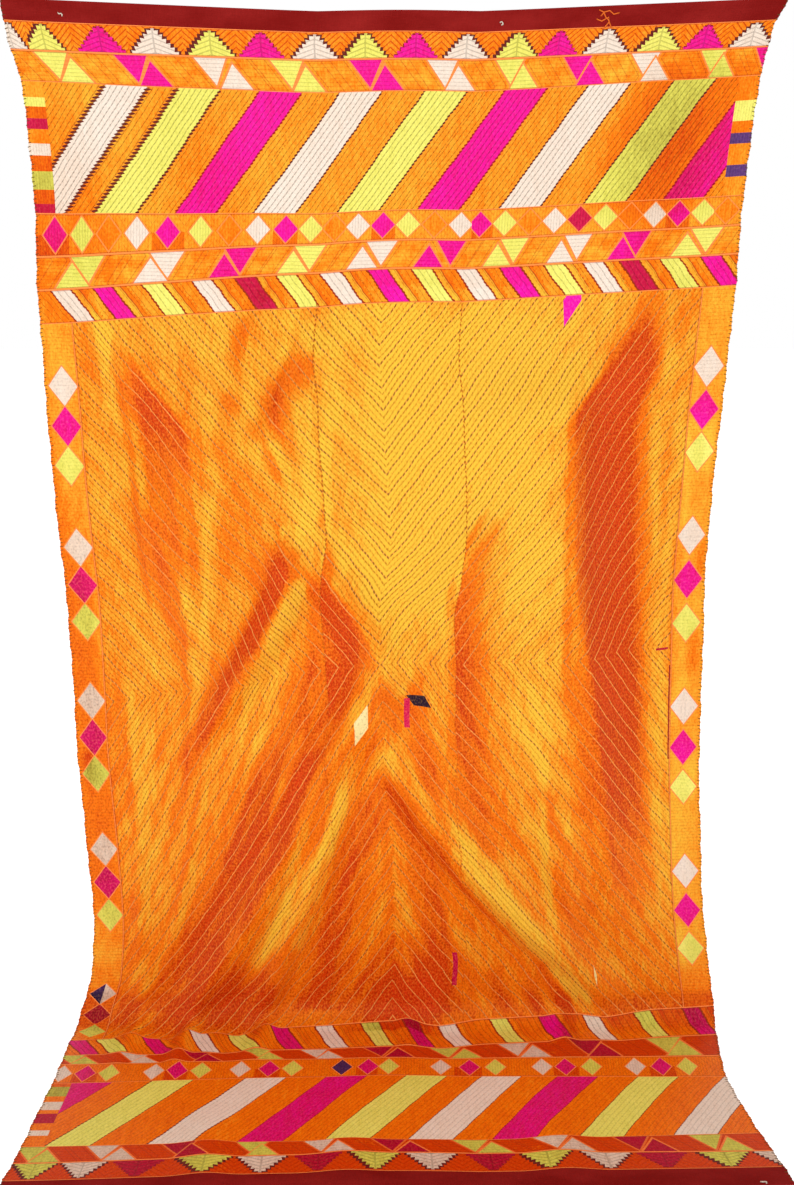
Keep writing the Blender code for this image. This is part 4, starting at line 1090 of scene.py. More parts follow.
# Silk floss, turned away from the light and facing it
Silk = namedtuple("Silk", "shade middle lit")
SILKS = {
    "orange": Silk((0.60, 0.040, 0.001), (0.86, 0.170, 0.002), (0.86, 0.47, 0.036)),
    "white": Silk((0.46, 0.27, 0.19), (0.72, 0.56, 0.44), (0.82, 0.71, 0.61)),
    "lime": Silk((0.34, 0.27, 0.03), (0.64, 0.60, 0.09), (0.84, 0.78, 0.17)),
    "magenta": Silk((0.34, 0.000, 0.020), (0.68, 0.000, 0.13), (0.87, 0.000, 0.38)),
    "crimson": Silk((0.28, 0.000, 0.010), (0.46, 0.000, 0.035), (0.62, 0.004, 0.080)),
    "navy": Silk((0.012, 0.004, 0.024), (0.045, 0.016, 0.090), (0.100, 0.035, 0.170)),
    "cream": Silk((0.62, 0.42, 0.14), (0.82, 0.64, 0.26), (0.90, 0.78, 0.42)),
}
# The silk of the field where it is turned farthest from the light
EMBER = (0.66, 0.036, 0.004)
EMBER_SLOPE = -1.8
# A tone of 0.05 shows the shade of a silk, 0.5 its middle colour and 0.95 its lit one
TONE_SLOPE = 2.2
SHADE_TONE = 0.1
MIDDLE_TONE = 1.1
# The field's painted sheen turns it from orange to golden between the tones 0.23 and 0.57
GOLDEN_SLOPE = 3.0
GOLDEN_START = 0.7

# Outlines, combs, ruled lines and the glints of the floss
SALMON = (0.93, 0.24, 0.055)
LINE_BROWN = (0.30, 0.022, 0.006)
GLINT = (1.0, 0.52, 0.07)
COMB = (0.115, 0.008, 0.012)
TICK_ON_MAGENTA = (0.34, 0.0, 0.015)
COMB_ON_MAGENTA = (0.26, 0.000, 0.020)
NESTED_POINT = (0.46, 0.025, 0.000)
FIELD_LINE = (0.82, 0.20, 0.012)
FIELD_LINE_ON_GOLD = (0.36, 0.080, 0.003)
RULE_GROUND = (0.84, 0.31, 0.070)
RULE = (0.84, 0.30, 0.070)
RULE_ON_GOLD = (0.16, 0.045, 0.008)

# The maroon cotton under the silk
COTTON = (0.190, 0.005, 0.004)
COTTON_WORN = (0.285, 0.014, 0.012)
WEAVE_PITCH = 0.0011

# Grains of each noise to a metre across and a metre down
DRIFT_GRAINS = (5.0, 5.0)
STRAND_GRAINS = (950.0, 90.0)
TWIST_GRAINS = (270.0, 210.0)
FLECK_GRAINS = (85.0, 30.0)
WARP_GRAINS = (700.0, 60.0)
WEFT_GRAINS = (60.0, 700.0)
WORN_GRAINS = (9.0, 22.0)
STRIPE_GRAINS = (30.0, 30.0)
SLANT_GRAINS = (34.0, 34.0)
FIELD_GRAINS = (22.0, 22.0)
FLOW_GRAINS = (150.0, 16.0)
FLOW_SLANT = 20.0
PAIR_GRAINS = (26.0, 60.0)
PAIR_SLANT = 14.0

# The embroidery's painted shade and light, and its outlines, change where the cloth comes to lie on the
# floor
LYING_FROM = 1.78
LYING_FADE = 25.0


def silk(name, tone):
    """The colour of one silk at a tone."""
    kind = SILKS[name]
    dark = blend(kind.shade, kind.middle, within(tone * TONE_SLOPE - SHADE_TONE))
    return blend(dark, kind.lit, within(tone * TONE_SLOPE - MIDDLE_TONE))


def motif_silk(number, tone):
    """The colour of the silk that has this number."""
    colour = silk("orange", tone - 0.16)
    for place, name in enumerate(COLOURS[1:6], start=1):
        colour = blend(colour, silk(name, tone), number > place - 0.5)
    return colour


def motif_at(x):
    """A motif's colour number, and the place across it in half widths."""
    number = whole(x + 0.5)
    return number, (x - number) / MOTIF_UNIT


def by_colour(number, choices):
    """One of three numbers, for the colours white, lime and magenta."""
    white, lime, magenta = choices
    return (white + (number > PAST_WHITE) * (lime - white)
            + (number > PAST_LIME) * (magenta - lime))


class Stitches:
    """What every silk look starts from: the maps, the tone of painted sheen and shade, and the floss."""

    def __init__(self, tree):
        self.tree = tree
        self.across, self.down = self.read_map("cloth")
        self.x, self.y = self.read_map("motif")
        self.second_x, self.second_y = self.read_map("second")
        attribute = tree.nodes.new("ShaderNodeAttribute")
        attribute.attribute_name = "tone"
        self.strand = self.waver(STRAND_GRAINS, 1.0)
        self.twist = self.waver(TWIST_GRAINS, 1.0)
        # The tone: painted sheen and shade from the mesh, with random grain of the floss added
        self.tone = (Wire(tree, attribute.outputs["Fac"]) + self.waver(DRIFT_GRAINS) * 0.12
                     + self.strand * 0.20 + self.twist * 0.26
                     + self.waver(FLECK_GRAINS) * 0.30)
        # How far the cloth lies on the floor, where the looks paint its shade and light differently
        self.lying = within((self.down - LYING_FROM) * LYING_FADE)

    def read_map(self, name):
        """Both coordinates of one of the wall's maps."""
        source = self.tree.nodes.new("ShaderNodeUVMap")
        source.uv_map = name
        parts = self.tree.nodes.new("ShaderNodeSeparateXYZ")
        self.tree.links.new(source.outputs[0], parts.inputs[0])
        return Wire(self.tree, parts.outputs[0]), Wire(self.tree, parts.outputs[1])

    def waver(self, grains, detail=2.0):
        """Soft noise over the cloth, from -0.5 to 0.5."""
        return noise(self.tree, self.across * grains[0], self.down * grains[1], detail) - 0.5

    def slanted_waver(self, grains, slant):
        """Soft noise whose grains lean, from -0.5 to 0.5."""
        leaning = self.across * grains[0] + self.down * slant
        return noise(self.tree, leaning, self.down * grains[1]) - 0.5


def golden(tone):
    """0 where the silk is orange and 1 where it is golden, from its tone of painted sheen and shade."""
    return within(tone * GOLDEN_SLOPE - GOLDEN_START)


def speckled(base, colour, strength):
    """The small shadows between the threads, and the glints on them."""
    strength = (1.25 - 0.60 * golden(base.tone)) * strength
    colour = shaded(colour, within(base.twist * -1.1 * strength))
    return blend(colour, GLINT, within(base.twist * 0.50 * strength))


# Share of its spacing that a dash of needle holes covers, and how strong the line is between
# its dashes
DASH_SHARE = 0.55
GAP_STRENGTH = 0.55


def ruled(colour, lines, along, strength):
    """Thin broken lines of needle holes between the rows of stitches."""
    dashes = GAP_STRENGTH + (1.0 - GAP_STRENGTH) * (fraction(along) < DASH_SHARE)
    return shaded(colour, lines * dashes * strength)


# Rows of needle holes: how far apart the rows are, and the dashes in each, how wide a row
# is as a share of that, and how dark
Holes = namedtuple("Holes", "row dash width strength")
DIAMOND_HOLES = Holes(0.0052, 0.0062, 0.18, 0.22)
PAIR_HOLES = Holes(0.0060, 0.0060, 0.16, 0.20)
BORDER_HOLES = Holes(0.0062, 0.0045, 0.14, 0.16)
BAR_HOLES = Holes(0.0048, 0.0045, 0.16, 0.16)
HOLE_DEPTH = -0.5
DEEP_HOLE_DEPTH = -0.6


def with_holes(colour, holes, over, along):
    """A colour with rows of needle holes, and the relief that they make."""
    lines = row_lines(over / holes.row, holes.width)
    return ruled(colour, lines, along / holes.dash, holes.strength), lines * HOLE_DEPTH


# The lines of thread along a band's edges, as shares of its height, and down the borders
# Beside each line of thread lies a painted shadow
BAND_LINE = 0.026
BAND_LINE_SHADE = 0.050
BORDER_LINE = 0.0007
BORDER_LINE_SHIFT = 0.0006
BORDER_LINE_SHADE = 0.0022


def band_outline(base, colour):
    """The thin line of thread along both edges of a band, with a painted shadow beside it."""
    near = least(base.y, 1.0 - base.y)
    # Painted shadow of the outline thread
    colour = blend(colour, LINE_BROWN, (near < BAND_LINE_SHADE) * 0.55)
    return blend(colour, SALMON, near < BAND_LINE)


def border_line(base, colour):
    """The line of thread between the field and the side borders, with a painted shadow round it."""
    inner = least(base.across, CLOTH_WIDTH - base.across) - SIDE_BORDER
    # Painted shadow of the outline thread
    colour = blend(colour, LINE_BROWN, (absolute(inner) < BORDER_LINE_SHADE) * 0.45)
    return blend(colour, SALMON, absolute(inner + BORDER_LINE_SHIFT) < BORDER_LINE)


def cotton_look(base):
    """The plain maroon cotton that the silk is worked on."""
    warp = base.waver(WARP_GRAINS)
    weft = base.waver(WEFT_GRAINS)
    worn = within(base.waver(WORN_GRAINS) * 1.6 + 0.3)
    weave = zigzag(base.across / WEAVE_PITCH) * zigzag(base.down / WEAVE_PITCH)
    colour = blend(COTTON, COTTON_WORN, within(worn + warp * 0.5 + weft * 0.5))
    return colour, weave * 0.6 + warp + weft


STRIPE_HALF_WIDTH = 0.0370
ROWS_IN_STRIPE = 3.5
STRIPE_DASH = 0.0065
TICK_PITCH = 0.0056
TICK_REACH = 0.0024
LONG_TICK_REACH = 0.0046
TICK_LINE = 0.0004
LONG_TICKS_END = 0.37
LONG_TICKS_FADE = 25.0


def stripes_look(base, tick_size, ruling):
    """Wide slanting stripes with dark ticks along their edges."""
    number, place = motif_at(base.x)
    place = place + base.waver(STRIPE_GRAINS) * 0.10
    edge = (absolute(place) - 1.0) * STRIPE_HALF_WIDTH
    tooth = zigzag(base.down / TICK_PITCH)
    long_side = by_colour(number, (1.0, 0.35 + 0.65 * (place < 0.0), 0.10))
    long_ticks = within((LONG_TICKS_END - base.across) * LONG_TICKS_FADE) * long_side
    reach = (TICK_REACH + LONG_TICK_REACH * long_ticks) * tick_size
    ridge = absolute(edge - reach * 0.35) < TICK_LINE + reach * tooth
    # Painted light: white and lime are paler where the cloth lies on the floor
    pale = 0.20 * base.lying * (number < PAST_LIME)
    colour = blend(silk("orange", base.tone - 0.04),
                   motif_silk(number, base.tone + 0.05 + pale), edge < 0.0)
    lines = row_lines(place * ROWS_IN_STRIPE, 0.20)
    colour = ruled(colour, lines, base.down / STRIPE_DASH, ruling)
    dark = blend(COMB, TICK_ON_MAGENTA, number > PAST_LIME)
    colour = blend(colour, dark, ridge * (0.65 + 0.35 * (tooth > 0.4)))
    return colour, lines * DEEP_HOLE_DEPTH


ROWS_IN_SLANT = 1.6
SLANT_DASH = 0.0062
# Where the orange between two slanted stripes changes its tone, in half widths
FACET_PLACE = 1.75


def slants_look(base):
    """Narrow slanting stripes with thin dark edges, and orange in two tones between."""
    number, place = motif_at(base.x)
    place = place + base.waver(SLANT_GRAINS) * 0.35
    edge = absolute(place) - 1.0
    facets = 0.36 * (place > FACET_PLACE) + 0.20 * (place < 0.0)
    # Painted light: where the cloth lies on the floor the facets differ less, and white and lime are paler
    ground = silk("orange", base.tone + 0.05 - facets * (1.0 - 0.6 * base.lying))
    pale = 0.16 * base.lying * (number < PAST_LIME)
    colour = blend(ground, motif_silk(number, base.tone + 0.04 + pale), edge < 0.0)
    lines = row_lines(place * ROWS_IN_SLANT, 0.18)
    colour = ruled(colour, lines, base.down / SLANT_DASH, 0.34)
    tooth = zigzag(base.down / TICK_PITCH)
    colour = blend(colour, LINE_BROWN, absolute(edge) < 0.05 + 0.09 * tooth)
    facet_line = (absolute(place - FACET_PLACE) < 0.07) * (0.7 - 0.3 * base.lying)
    colour = blend(colour, LINE_BROWN, facet_line)
    return band_outline(base, colour), lines * DEEP_HOLE_DEPTH


# Half the height of a small diamond as a share of its band's, and its outline's width as a
# share of its own half width
SMALL_DIAMOND = 0.42
SMALL_DIAMOND_OUTLINE = 0.13


def diamonds_look(base):
    """Small diamonds in threes, on orange in facets."""
    number, place = motif_at(base.x)
    outside = absolute(place) + absolute(base.y - 0.5) / SMALL_DIAMOND - 1.0
    under_magenta = (base.y > 0.5) * (number > PAST_LIME) * (number < PAST_MAGENTA)
    colour = silk("orange", base.tone - 0.02 - 0.34 * under_magenta)
    colour = blend(colour, LINE_BROWN, row_lines(outside * 1.7 + 0.15, 0.10) * 0.35)
    colour = blend(colour, SALMON, outside < SMALL_DIAMOND_OUTLINE)
    colour = blend(colour, motif_silk(number, base.tone + 0.03), outside < 0.0)
    colour, relief = with_holes(colour, DIAMOND_HOLES, base.across, base.down)
    return band_outline(base, colour), relief


# The triangles of a pair: height as a share of the band's, and in half widths how far each
# leans over the band's height and how wide its outline is
UPPER_HEIGHT = 0.88
LOWER_HEIGHT = 0.80
UPPER_LEAN = 0.20
LOWER_LEAN = 0.12
PAIR_OUTLINE = 0.14


def pairs_look(base, lean):
    """Pairs of triangles, one pointing down and the next one pointing up."""
    number, place = motif_at(base.x)
    second_number, second_place = motif_at(base.second_x)
    upper = absolute(place - lean * UPPER_LEAN * base.y) - (1.0 - base.y / UPPER_HEIGHT)
    rise = 1.0 - base.second_y
    lower = absolute(second_place + lean * LOWER_LEAN * rise) - (1.0 - rise / LOWER_HEIGHT)
    waves = base.slanted_waver(PAIR_GRAINS, PAIR_SLANT)
    # Painted shade: the orange and the triangles are darker where the cloth lies on the floor
    colour = silk("orange", base.tone - 0.04 - 0.46 * base.lying + waves * 0.50)
    outside = least(upper, lower)
    colour = blend(colour, LINE_BROWN, row_lines(outside * 1.25 + 0.05, 0.11) * 0.35)
    motif_tone = base.tone + 0.04 - 0.14 * base.lying
    outline = 1.0 - 0.5 * base.lying
    for near, inside, silk_number in ((outside, upper, number), (lower, lower, second_number)):
        colour = blend(colour, SALMON, (near < PAIR_OUTLINE) * outline)
        colour = blend(colour, motif_silk(silk_number, motif_tone), inside < 0.0)
    colour, relief = with_holes(colour, PAIR_HOLES, base.down, base.across)
    return band_outline(base, colour), relief


# Feathers, comb teeth and nested points in the height of a band
FEATHERS = 6.0
COMB_TEETH = 8.0
NESTED_POINTS = 4.5
# In half widths: the triangle at its foot, and how deep the feathers and the teeth are cut
TRIANGLE_FOOT = 0.96
FEATHER_DEPTH = 0.20
TOOTH_DEPTH = 0.14


def zigzag_look(base):
    """Feathered triangles with dark combs beside them, and nested points between."""
    number, place = motif_at(base.x)
    spread = absolute(place)
    outside = spread - base.y * TRIANGLE_FOOT
    feather = fraction(base.y * FEATHERS + spread * 0.9)
    comb_tooth = fraction(base.y * COMB_TEETH + 0.3)
    comb_width = by_colour(number, (0.15, 0.13 + 0.10 * (place < 0.0), 0.04))
    quills = row_lines(base.y * FEATHERS - spread * 2.0, 0.24)
    # Painted shade: the orange and the floss are darker where the cloth lies on the floor
    ground = silk("orange", base.tone - 0.12 - 0.36 * base.lying)
    nested = row_lines(base.y * NESTED_POINTS + spread * 3.6, 0.28)
    ground = blend(ground, NESTED_POINT, nested * 0.72)
    dark = blend(COMB, COMB_ON_MAGENTA, number > PAST_LIME)
    colour = blend(ground, dark, outside + TOOTH_DEPTH * (comb_tooth - 0.5) < comb_width)
    floss = shaded(motif_silk(number, base.tone + 0.04 - 0.10 * base.lying),
                   most(quills, spread < 0.035) * 0.30)
    colour = blend(colour, floss, outside + FEATHER_DEPTH * (feather - 0.5) < 0.0)
    colour = blend(colour, ground, base.y < 0.08)
    return band_outline(base, colour), quills * DEEP_HOLE_DEPTH


# Outline of a side diamond, as a share of its half width
SIDE_DIAMOND_OUTLINE = 0.10


def border_look(base):
    """Diamonds down the side borders."""
    number, place = motif_at(base.x)
    outside = absolute(place) + absolute(base.y) - 1.0
    colour, relief = with_holes(silk("orange", base.tone + 0.04), BORDER_HOLES,
                                base.down, base.across)
    outline = (outside < SIDE_DIAMOND_OUTLINE) * (1.0 - 0.7 * base.lying)
    colour = blend(colour, SALMON, outline)
    halved = (number > PAST_NAVY) * (place > 0.0)
    plain = motif_silk(least(number, NAVY_NUMBER), base.tone)
    diamond = blend(plain, silk("white", base.tone), halved)
    colour = blend(colour, diamond, outside < 0.0)
    return border_line(base, colour), relief


def bars_look(base, bars):
    """Bars of colour at the end of a striped band."""
    colour = silk(bars[0].colour, base.tone + bars[0].tone)
    for bar in bars[1:]:
        colour = blend(colour, silk(bar.colour, base.tone + bar.tone), base.y > bar.start)
    return with_holes(colour, BAR_HOLES, base.across, base.down)


FIELD_ROW = 0.0122
FIELD_STEEPNESS = 1.19
ROWS_TO_A_RULE = 3.0
FIELD_DASH = 0.0061
FIELD_DASH_SHARE = 0.60
FLOSS_STEP = 0.0024
# How wide the lines between rows and the ruled lines are, as shares of their spacing
FIELD_LINE_WIDTH = 0.27
RULE_WIDTH = 0.085
# The soft streaks below the middle, which lean outwards
STREAK_LEAN = 0.45
STREAK_GRAINS = (48.0, 4.0)
STREAKS_FADE = 9.0
# How far the rows step at the left and the right seam, as a share of a row
LEFT_SEAM_STEP = 0.35
RIGHT_SEAM_STEP = -0.55
# Shares of a turn from one row to the next, which keep rows apart from their neighbours
STRENGTH_TURN = 0.382
DASH_TURN = 0.37
ROW_TURN = 0.31
LOT_GRAINS = 7.0

# Small patches of another silk in the field: lean is how far right the sides go for each
# metre down, rise how far down the ends go for each metre to the right
Accent = namedtuple("Accent", "colour tone across down half_width half_height lean rise pointed")
ACCENTS = (
    Accent("magenta", 0.9, 0.9815, 0.4700, 0.0165, 0.0430, -0.30, 0.0, True),
    Accent("cream", 0.7, 0.592, 1.2010, 0.0130, 0.0230, 0.0, -1.35, False),
    Accent("navy", 0.0, 0.708, 1.1600, 0.0180, 0.0105, 0.70, 0.0, False),
    Accent("crimson", 1.1, 0.684, 1.1850, 0.0055, 0.0290, 0.0, 0.0, False),
    Accent("crimson", 0.8, 0.759, 1.7120, 0.0050, 0.0350, 0.12, 0.0, False),
    Accent("cream", 0.5, 1.047, 1.7280, 0.0026, 0.0210, 0.10, 0.0, True),
    Accent("crimson", 0.4, 1.203, 1.0900, 0.0110, 0.0020, 0.0, -0.15, False),
    Accent("crimson", 0.1, 1.2175, 1.2100, 0.0012, 0.0900, 0.0, 0.0, False),
)


def accent_place(base, accent):
    """1 inside a small patch of another colour."""
    beside = base.across - accent.across
    below = base.down - accent.down
    x = absolute(beside - below * accent.lean) * (1.0 / accent.half_width)
    y = absolute(below - beside * accent.rise) * (1.0 / accent.half_height)
    return (x + y if accent.pointed else most(x, y)) < 1.0


def field_tone(base, row, below):
    """The silk's tone in the field, with its own edges at each row and soft streaks."""
    lot = noise(base.tree, whole(row) * ROW_TURN, base.across * LOT_GRAINS) - 0.5
    flow = base.slanted_waver(FLOW_GRAINS, FLOW_SLANT)
    slope = absolute(base.x) - base.y * STREAK_LEAN
    slide = noise(base.tree, slope * STREAK_GRAINS[0], base.y * STREAK_GRAINS[1]) - 0.5
    tone = base.tone + lot * (0.34 + 0.10 * below) + flow * (0.20 + 0.16 * below)
    return tone + slide * below * 0.50


def field_look(base):
    """Rows of golden stitches that meet in points above, below and beside the middle."""
    beside = absolute(base.x) * FIELD_STEEPNESS
    below = within(base.y * STREAKS_FADE)
    steps = ((base.across > PANELS[1].start) * LEFT_SEAM_STEP
             + (base.across > PANELS[2].start) * RIGHT_SEAM_STEP)
    row = (beside - absolute(base.y)) / FIELD_ROW + base.waver(FIELD_GRAINS) * 0.7 + steps
    lines = row_lines(row + zigzag(base.across / FLOSS_STEP) * 0.16, FIELD_LINE_WIDTH)
    rule = row_lines((row + 1.0) / ROWS_TO_A_RULE, RULE_WIDTH)
    tone = field_tone(base, row, below)
    colour = blend(silk("orange", tone), EMBER, within(tone * EMBER_SLOPE))
    strength = 0.55 + 0.45 * fraction(whole(row) * STRENGTH_TURN)
    dash = fraction(base.across / FIELD_DASH + whole(row) * DASH_TURN) < FIELD_DASH_SHARE
    gold = golden(tone)
    cover = strength * (0.30 + 0.50 * gold) * (0.40 + 0.60 * dash) * (1.0 - 0.35 * below)
    colour = blend(colour, blend(FIELD_LINE, FIELD_LINE_ON_GOLD, gold), lines * cover)
    colour = blend(colour, RULE_GROUND, rule * 0.70)
    colour = blend(colour, blend(RULE, RULE_ON_GOLD, gold), rule * dash * 0.80)
    for accent in ACCENTS:
        accent_tone = base.tone * 0.3 + (accent.tone - 0.2)
        colour = blend(colour, silk(accent.colour, accent_tone), accent_place(base, accent))
    return border_line(base, colour), lines * DEEP_HOLE_DEPTH - rule * 0.4


SEAM_HALF_WIDTH = 0.0015
RIGHT_SEAM_THINNER = 0.0004
SEAM_STITCH = 0.0085
SEAM_STITCH_SHARE = 0.45
PLAIN_SEAM_FROM = 0.80
PLAIN_SEAM_FADE = 3.0
FIELD_FROM = 0.47
SEAM_HOLES = (0.13, 0.030, 0.006)


def seamed(base, colour):
    """Dark stitches along the two seams."""
    left = absolute(base.across - PANELS[1].start)
    right = absolute(base.across - PANELS[2].start)
    stitch = fraction(base.down / SEAM_STITCH) < SEAM_STITCH_SHARE
    near = least(left, right + RIGHT_SEAM_THINNER) < SEAM_HALF_WIDTH
    plain = most(within((base.down - PLAIN_SEAM_FROM) * PLAIN_SEAM_FADE),
                 base.down < FIELD_FROM)
    return blend(colour, SEAM_HOLES, near * (0.10 + 0.60 * stitch) * (1.0 - 0.85 * plain))


LOOK_MAKERS = {
    "cotton": cotton_look,
    "zigzag": zigzag_look,
    "pairs": partial(pairs_look, lean=1.0),
    "pairs_reversed": partial(pairs_look, lean=0.0),
    "stripes": partial(stripes_look, tick_size=1.0, ruling=0.50),
    "stripes_plain": partial(stripes_look, tick_size=0.25, ruling=0.20),
    "diamonds": diamonds_look,
    "slants": slants_look,
    "field": field_look,
    "border": border_look,
    **{name: partial(bars_look, bars=bars) for name, bars in BARS.items()},
}

SILK_ROUGHNESS = 0.42
SILK_GLOSS = (1.0, 0.70, 0.30)
SILK_SPECULAR = 0.16
SILK_ANISOTROPY = 0.5
COTTON_ROUGHNESS = 0.85
COTTON_SPECULAR = 0.06
BACK_SPECULAR = 0.2
BUMP_DEPTH = 0.0004
# How strong the speckle of painted shadows and glints on the threads is, and where it is not the usual
SPECKLE = 0.36
SPECKLES = {"field": 0.95, "border": 0.65}

# The small stitches on the back: how far apart they are down and across the cloth, the
# share of that which one covers, and how far each row is shifted from the one above
BACK_PITCH = (0.0052, 0.0046)
BACK_COVER = (0.34, 0.36)
BACK_SHIFT = 0.37


def new_material(name, roughness):
    """An empty cloth material and its shader node."""
    material = bpy.data.materials.new(name)
    material.use_nodes = True
    shader = material.node_tree.nodes["Principled BSDF"]
    shader.inputs["Roughness"].default_value = roughness
    return material, shader


def paint(tree, shader, colour, specular):
    """Give a shader its colour and how much it reflects."""
    tree.links.new(colour.socket, shader.inputs["Base Color"])
    shader.inputs["Specular IOR Level"].default_value = specular


def add_bump(tree, shader, height, distance):
    """Raise the surface by a wire."""
    bump = tree.nodes.new("ShaderNodeBump")
    bump.inputs["Distance"].default_value = distance
    tree.links.new(height.socket, bump.inputs["Height"])
    tree.links.new(bump.outputs[0], shader.inputs["Normal"])


def add_silk_gloss(tree, shader):
    """The long golden gloss of floss that lies in rows."""
    shader.inputs["Specular Tint"].default_value = (*SILK_GLOSS, 1.0)
    shader.inputs["Anisotropic"].default_value = SILK_ANISOTROPY
    tangent = tree.nodes.new("ShaderNodeTangent")
    tangent.direction_type = "UV_MAP"
    tangent.uv_map = "cloth"
    tree.links.new(tangent.outputs[0], shader.inputs["Tangent"])


def front_material(look):
    """The silk side of one look."""
    cotton = look == "cotton"
    roughness = COTTON_ROUGHNESS if cotton else SILK_ROUGHNESS
    material, shader = new_material("front_" + look, roughness)
    tree = material.node_tree
    base = Stitches(tree)
    colour, relief = LOOK_MAKERS[look](base)
    if not cotton:
        colour = speckled(base, colour, SPECKLES.get(look, SPECKLE))
        relief = relief + base.strand * 1.2
        add_silk_gloss(tree, shader)
    paint(tree, shader, seamed(base, colour), COTTON_SPECULAR if cotton else SILK_SPECULAR)
    add_bump(tree, shader, relief, BUMP_DEPTH)
    return material


def back_material(look):
    """The reverse of one look: maroon cotton with small pick-up stitches of the silk."""
    material, shader = new_material("back_" + look, COTTON_ROUGHNESS)
    tree = material.node_tree
    base = Stitches(tree)
    cloth_colour, weave = cotton_look(base)
    if look != "cotton":
        row = base.down / BACK_PITCH[0]
        place = base.across / BACK_PITCH[1] + whole(row) * BACK_SHIFT
        stitch = (fraction(row) < BACK_COVER[0]) * (fraction(place) < BACK_COVER[1])
        floss = shaded(LOOK_MAKERS[look](base)[0], within(0.20 - base.strand))
        cloth_colour = blend(cloth_colour, floss, stitch)
        weave = weave + stitch * 1.5
    paint(tree, shader, cloth_colour, BACK_SPECULAR)
    add_bump(tree, shader, weave, BUMP_DEPTH)
    return material


# ---- The walls of the three lengths ----------------------------------------------------
# On a panel's flat map: length of cloth in each half of the silk side, least length of the
# map's side, space between the parts, and the scales of the back and of the rim
BAKE_CHUNK = 1.165
BAKE_SIDE = 1.25
BAKE_GAP = 0.012
BACK_SCALE = 0.24
RIM_SCALE = 1e-4
SHARP_ANGLE = math.radians(50.0)
BACKWARDS = [0, 3, 2, 1]


def bake_map(panel, across, down, back):
    """Places on the panel's own flat map: the silk side in two halves side by side, and
    the back, smaller, beside them."""
    width = panel.end - panel.start
    x = across - panel.start
    if back:
        x = 2 * (width + BAKE_GAP) + x * BACK_SCALE
        return np.stack([x, down * BACK_SCALE], axis=2) / bake_side(width)
    lower = down.mean(axis=1)[:, None] > BAKE_CHUNK
    x = x + lower * (width + BAKE_GAP)
    y = down - lower * (BAKE_CHUNK - BAKE_GAP)
    return np.stack([x, y], axis=2) / bake_side(width)


def bake_side(width):
    """Length of cloth that the side of a panel's map stands for."""
    return max(BAKE_SIDE, 2 * (width + BAKE_GAP) + width * BACK_SCALE + BAKE_GAP)


RAGGED_REACH = 0.0006
# Turns to a metre and start of each wave of the ragged side edges
RAGGED_WAVES = ((31.0, 0.0), (83.0, 1.7), (149.0, 4.1), (377.0, 2.3))
RAGGED_SIDE_LAG = 5.0


def ragged(across, down):
    """Places across the cloth with its two side edges a little uneven."""
    lag = RAGGED_SIDE_LAG * across
    waver = sum(np.sin(turns * down + start + lag) for turns, start in RAGGED_WAVES)
    at_left = across < GRID_STEP / 10
    at_right = across > CLOTH_WIDTH - GRID_STEP / 10
    return across + RAGGED_REACH * waver * (at_right * 1.0 - at_left * 1.0)


def new_object(name, data):
    """An object in the scene."""
    made = bpy.data.objects.new(name, data)
    bpy.context.scene.collection.objects.link(made)
    return made


def corners_of(values, faces):
    """Values of a grid's points at the corners of faces."""
    return values.reshape(-1)[faces]


def add_map(mesh, name, corners):
    """A map of the mesh, from an array of its faces' corners."""
    layer = mesh.uv_layers.new(name=name, do_init=False)
    layer.data.foreach_set("uv", corners.astype(np.float32).ravel())


def grid_faces(rows, columns):
    """The faces of a grid of points, and the ring of points round its edge."""
    numbers = np.arange(rows * columns).reshape(rows, columns)
    corners = (numbers[:-1, :-1], numbers[1:, :-1], numbers[1:, 1:], numbers[:-1, 1:])
    faces = np.stack([corner.ravel() for corner in corners], axis=1)
    ring = np.concatenate([numbers[0, :-1], numbers[:-1, -1], numbers[-1, :0:-1],
                           numbers[:0:-1, 0]])
    return faces, ring


def add_looks(mesh, looks, rim_count, materials):
    """Give the faces of both sides the material of their look, and the rim plain cotton."""
    slots = {}
    for side in ("front", "back"):
        for look in sorted(set(looks)):
            slots[side, look] = len(mesh.materials)
            mesh.materials.append(materials[side, look])
    chosen = [slots[side, look] for side in ("front", "back") for look in looks]
    chosen += [slots["back", "cotton"]] * rim_count
    mesh.polygons.foreach_set("material_index", np.asarray(chosen, np.int32))


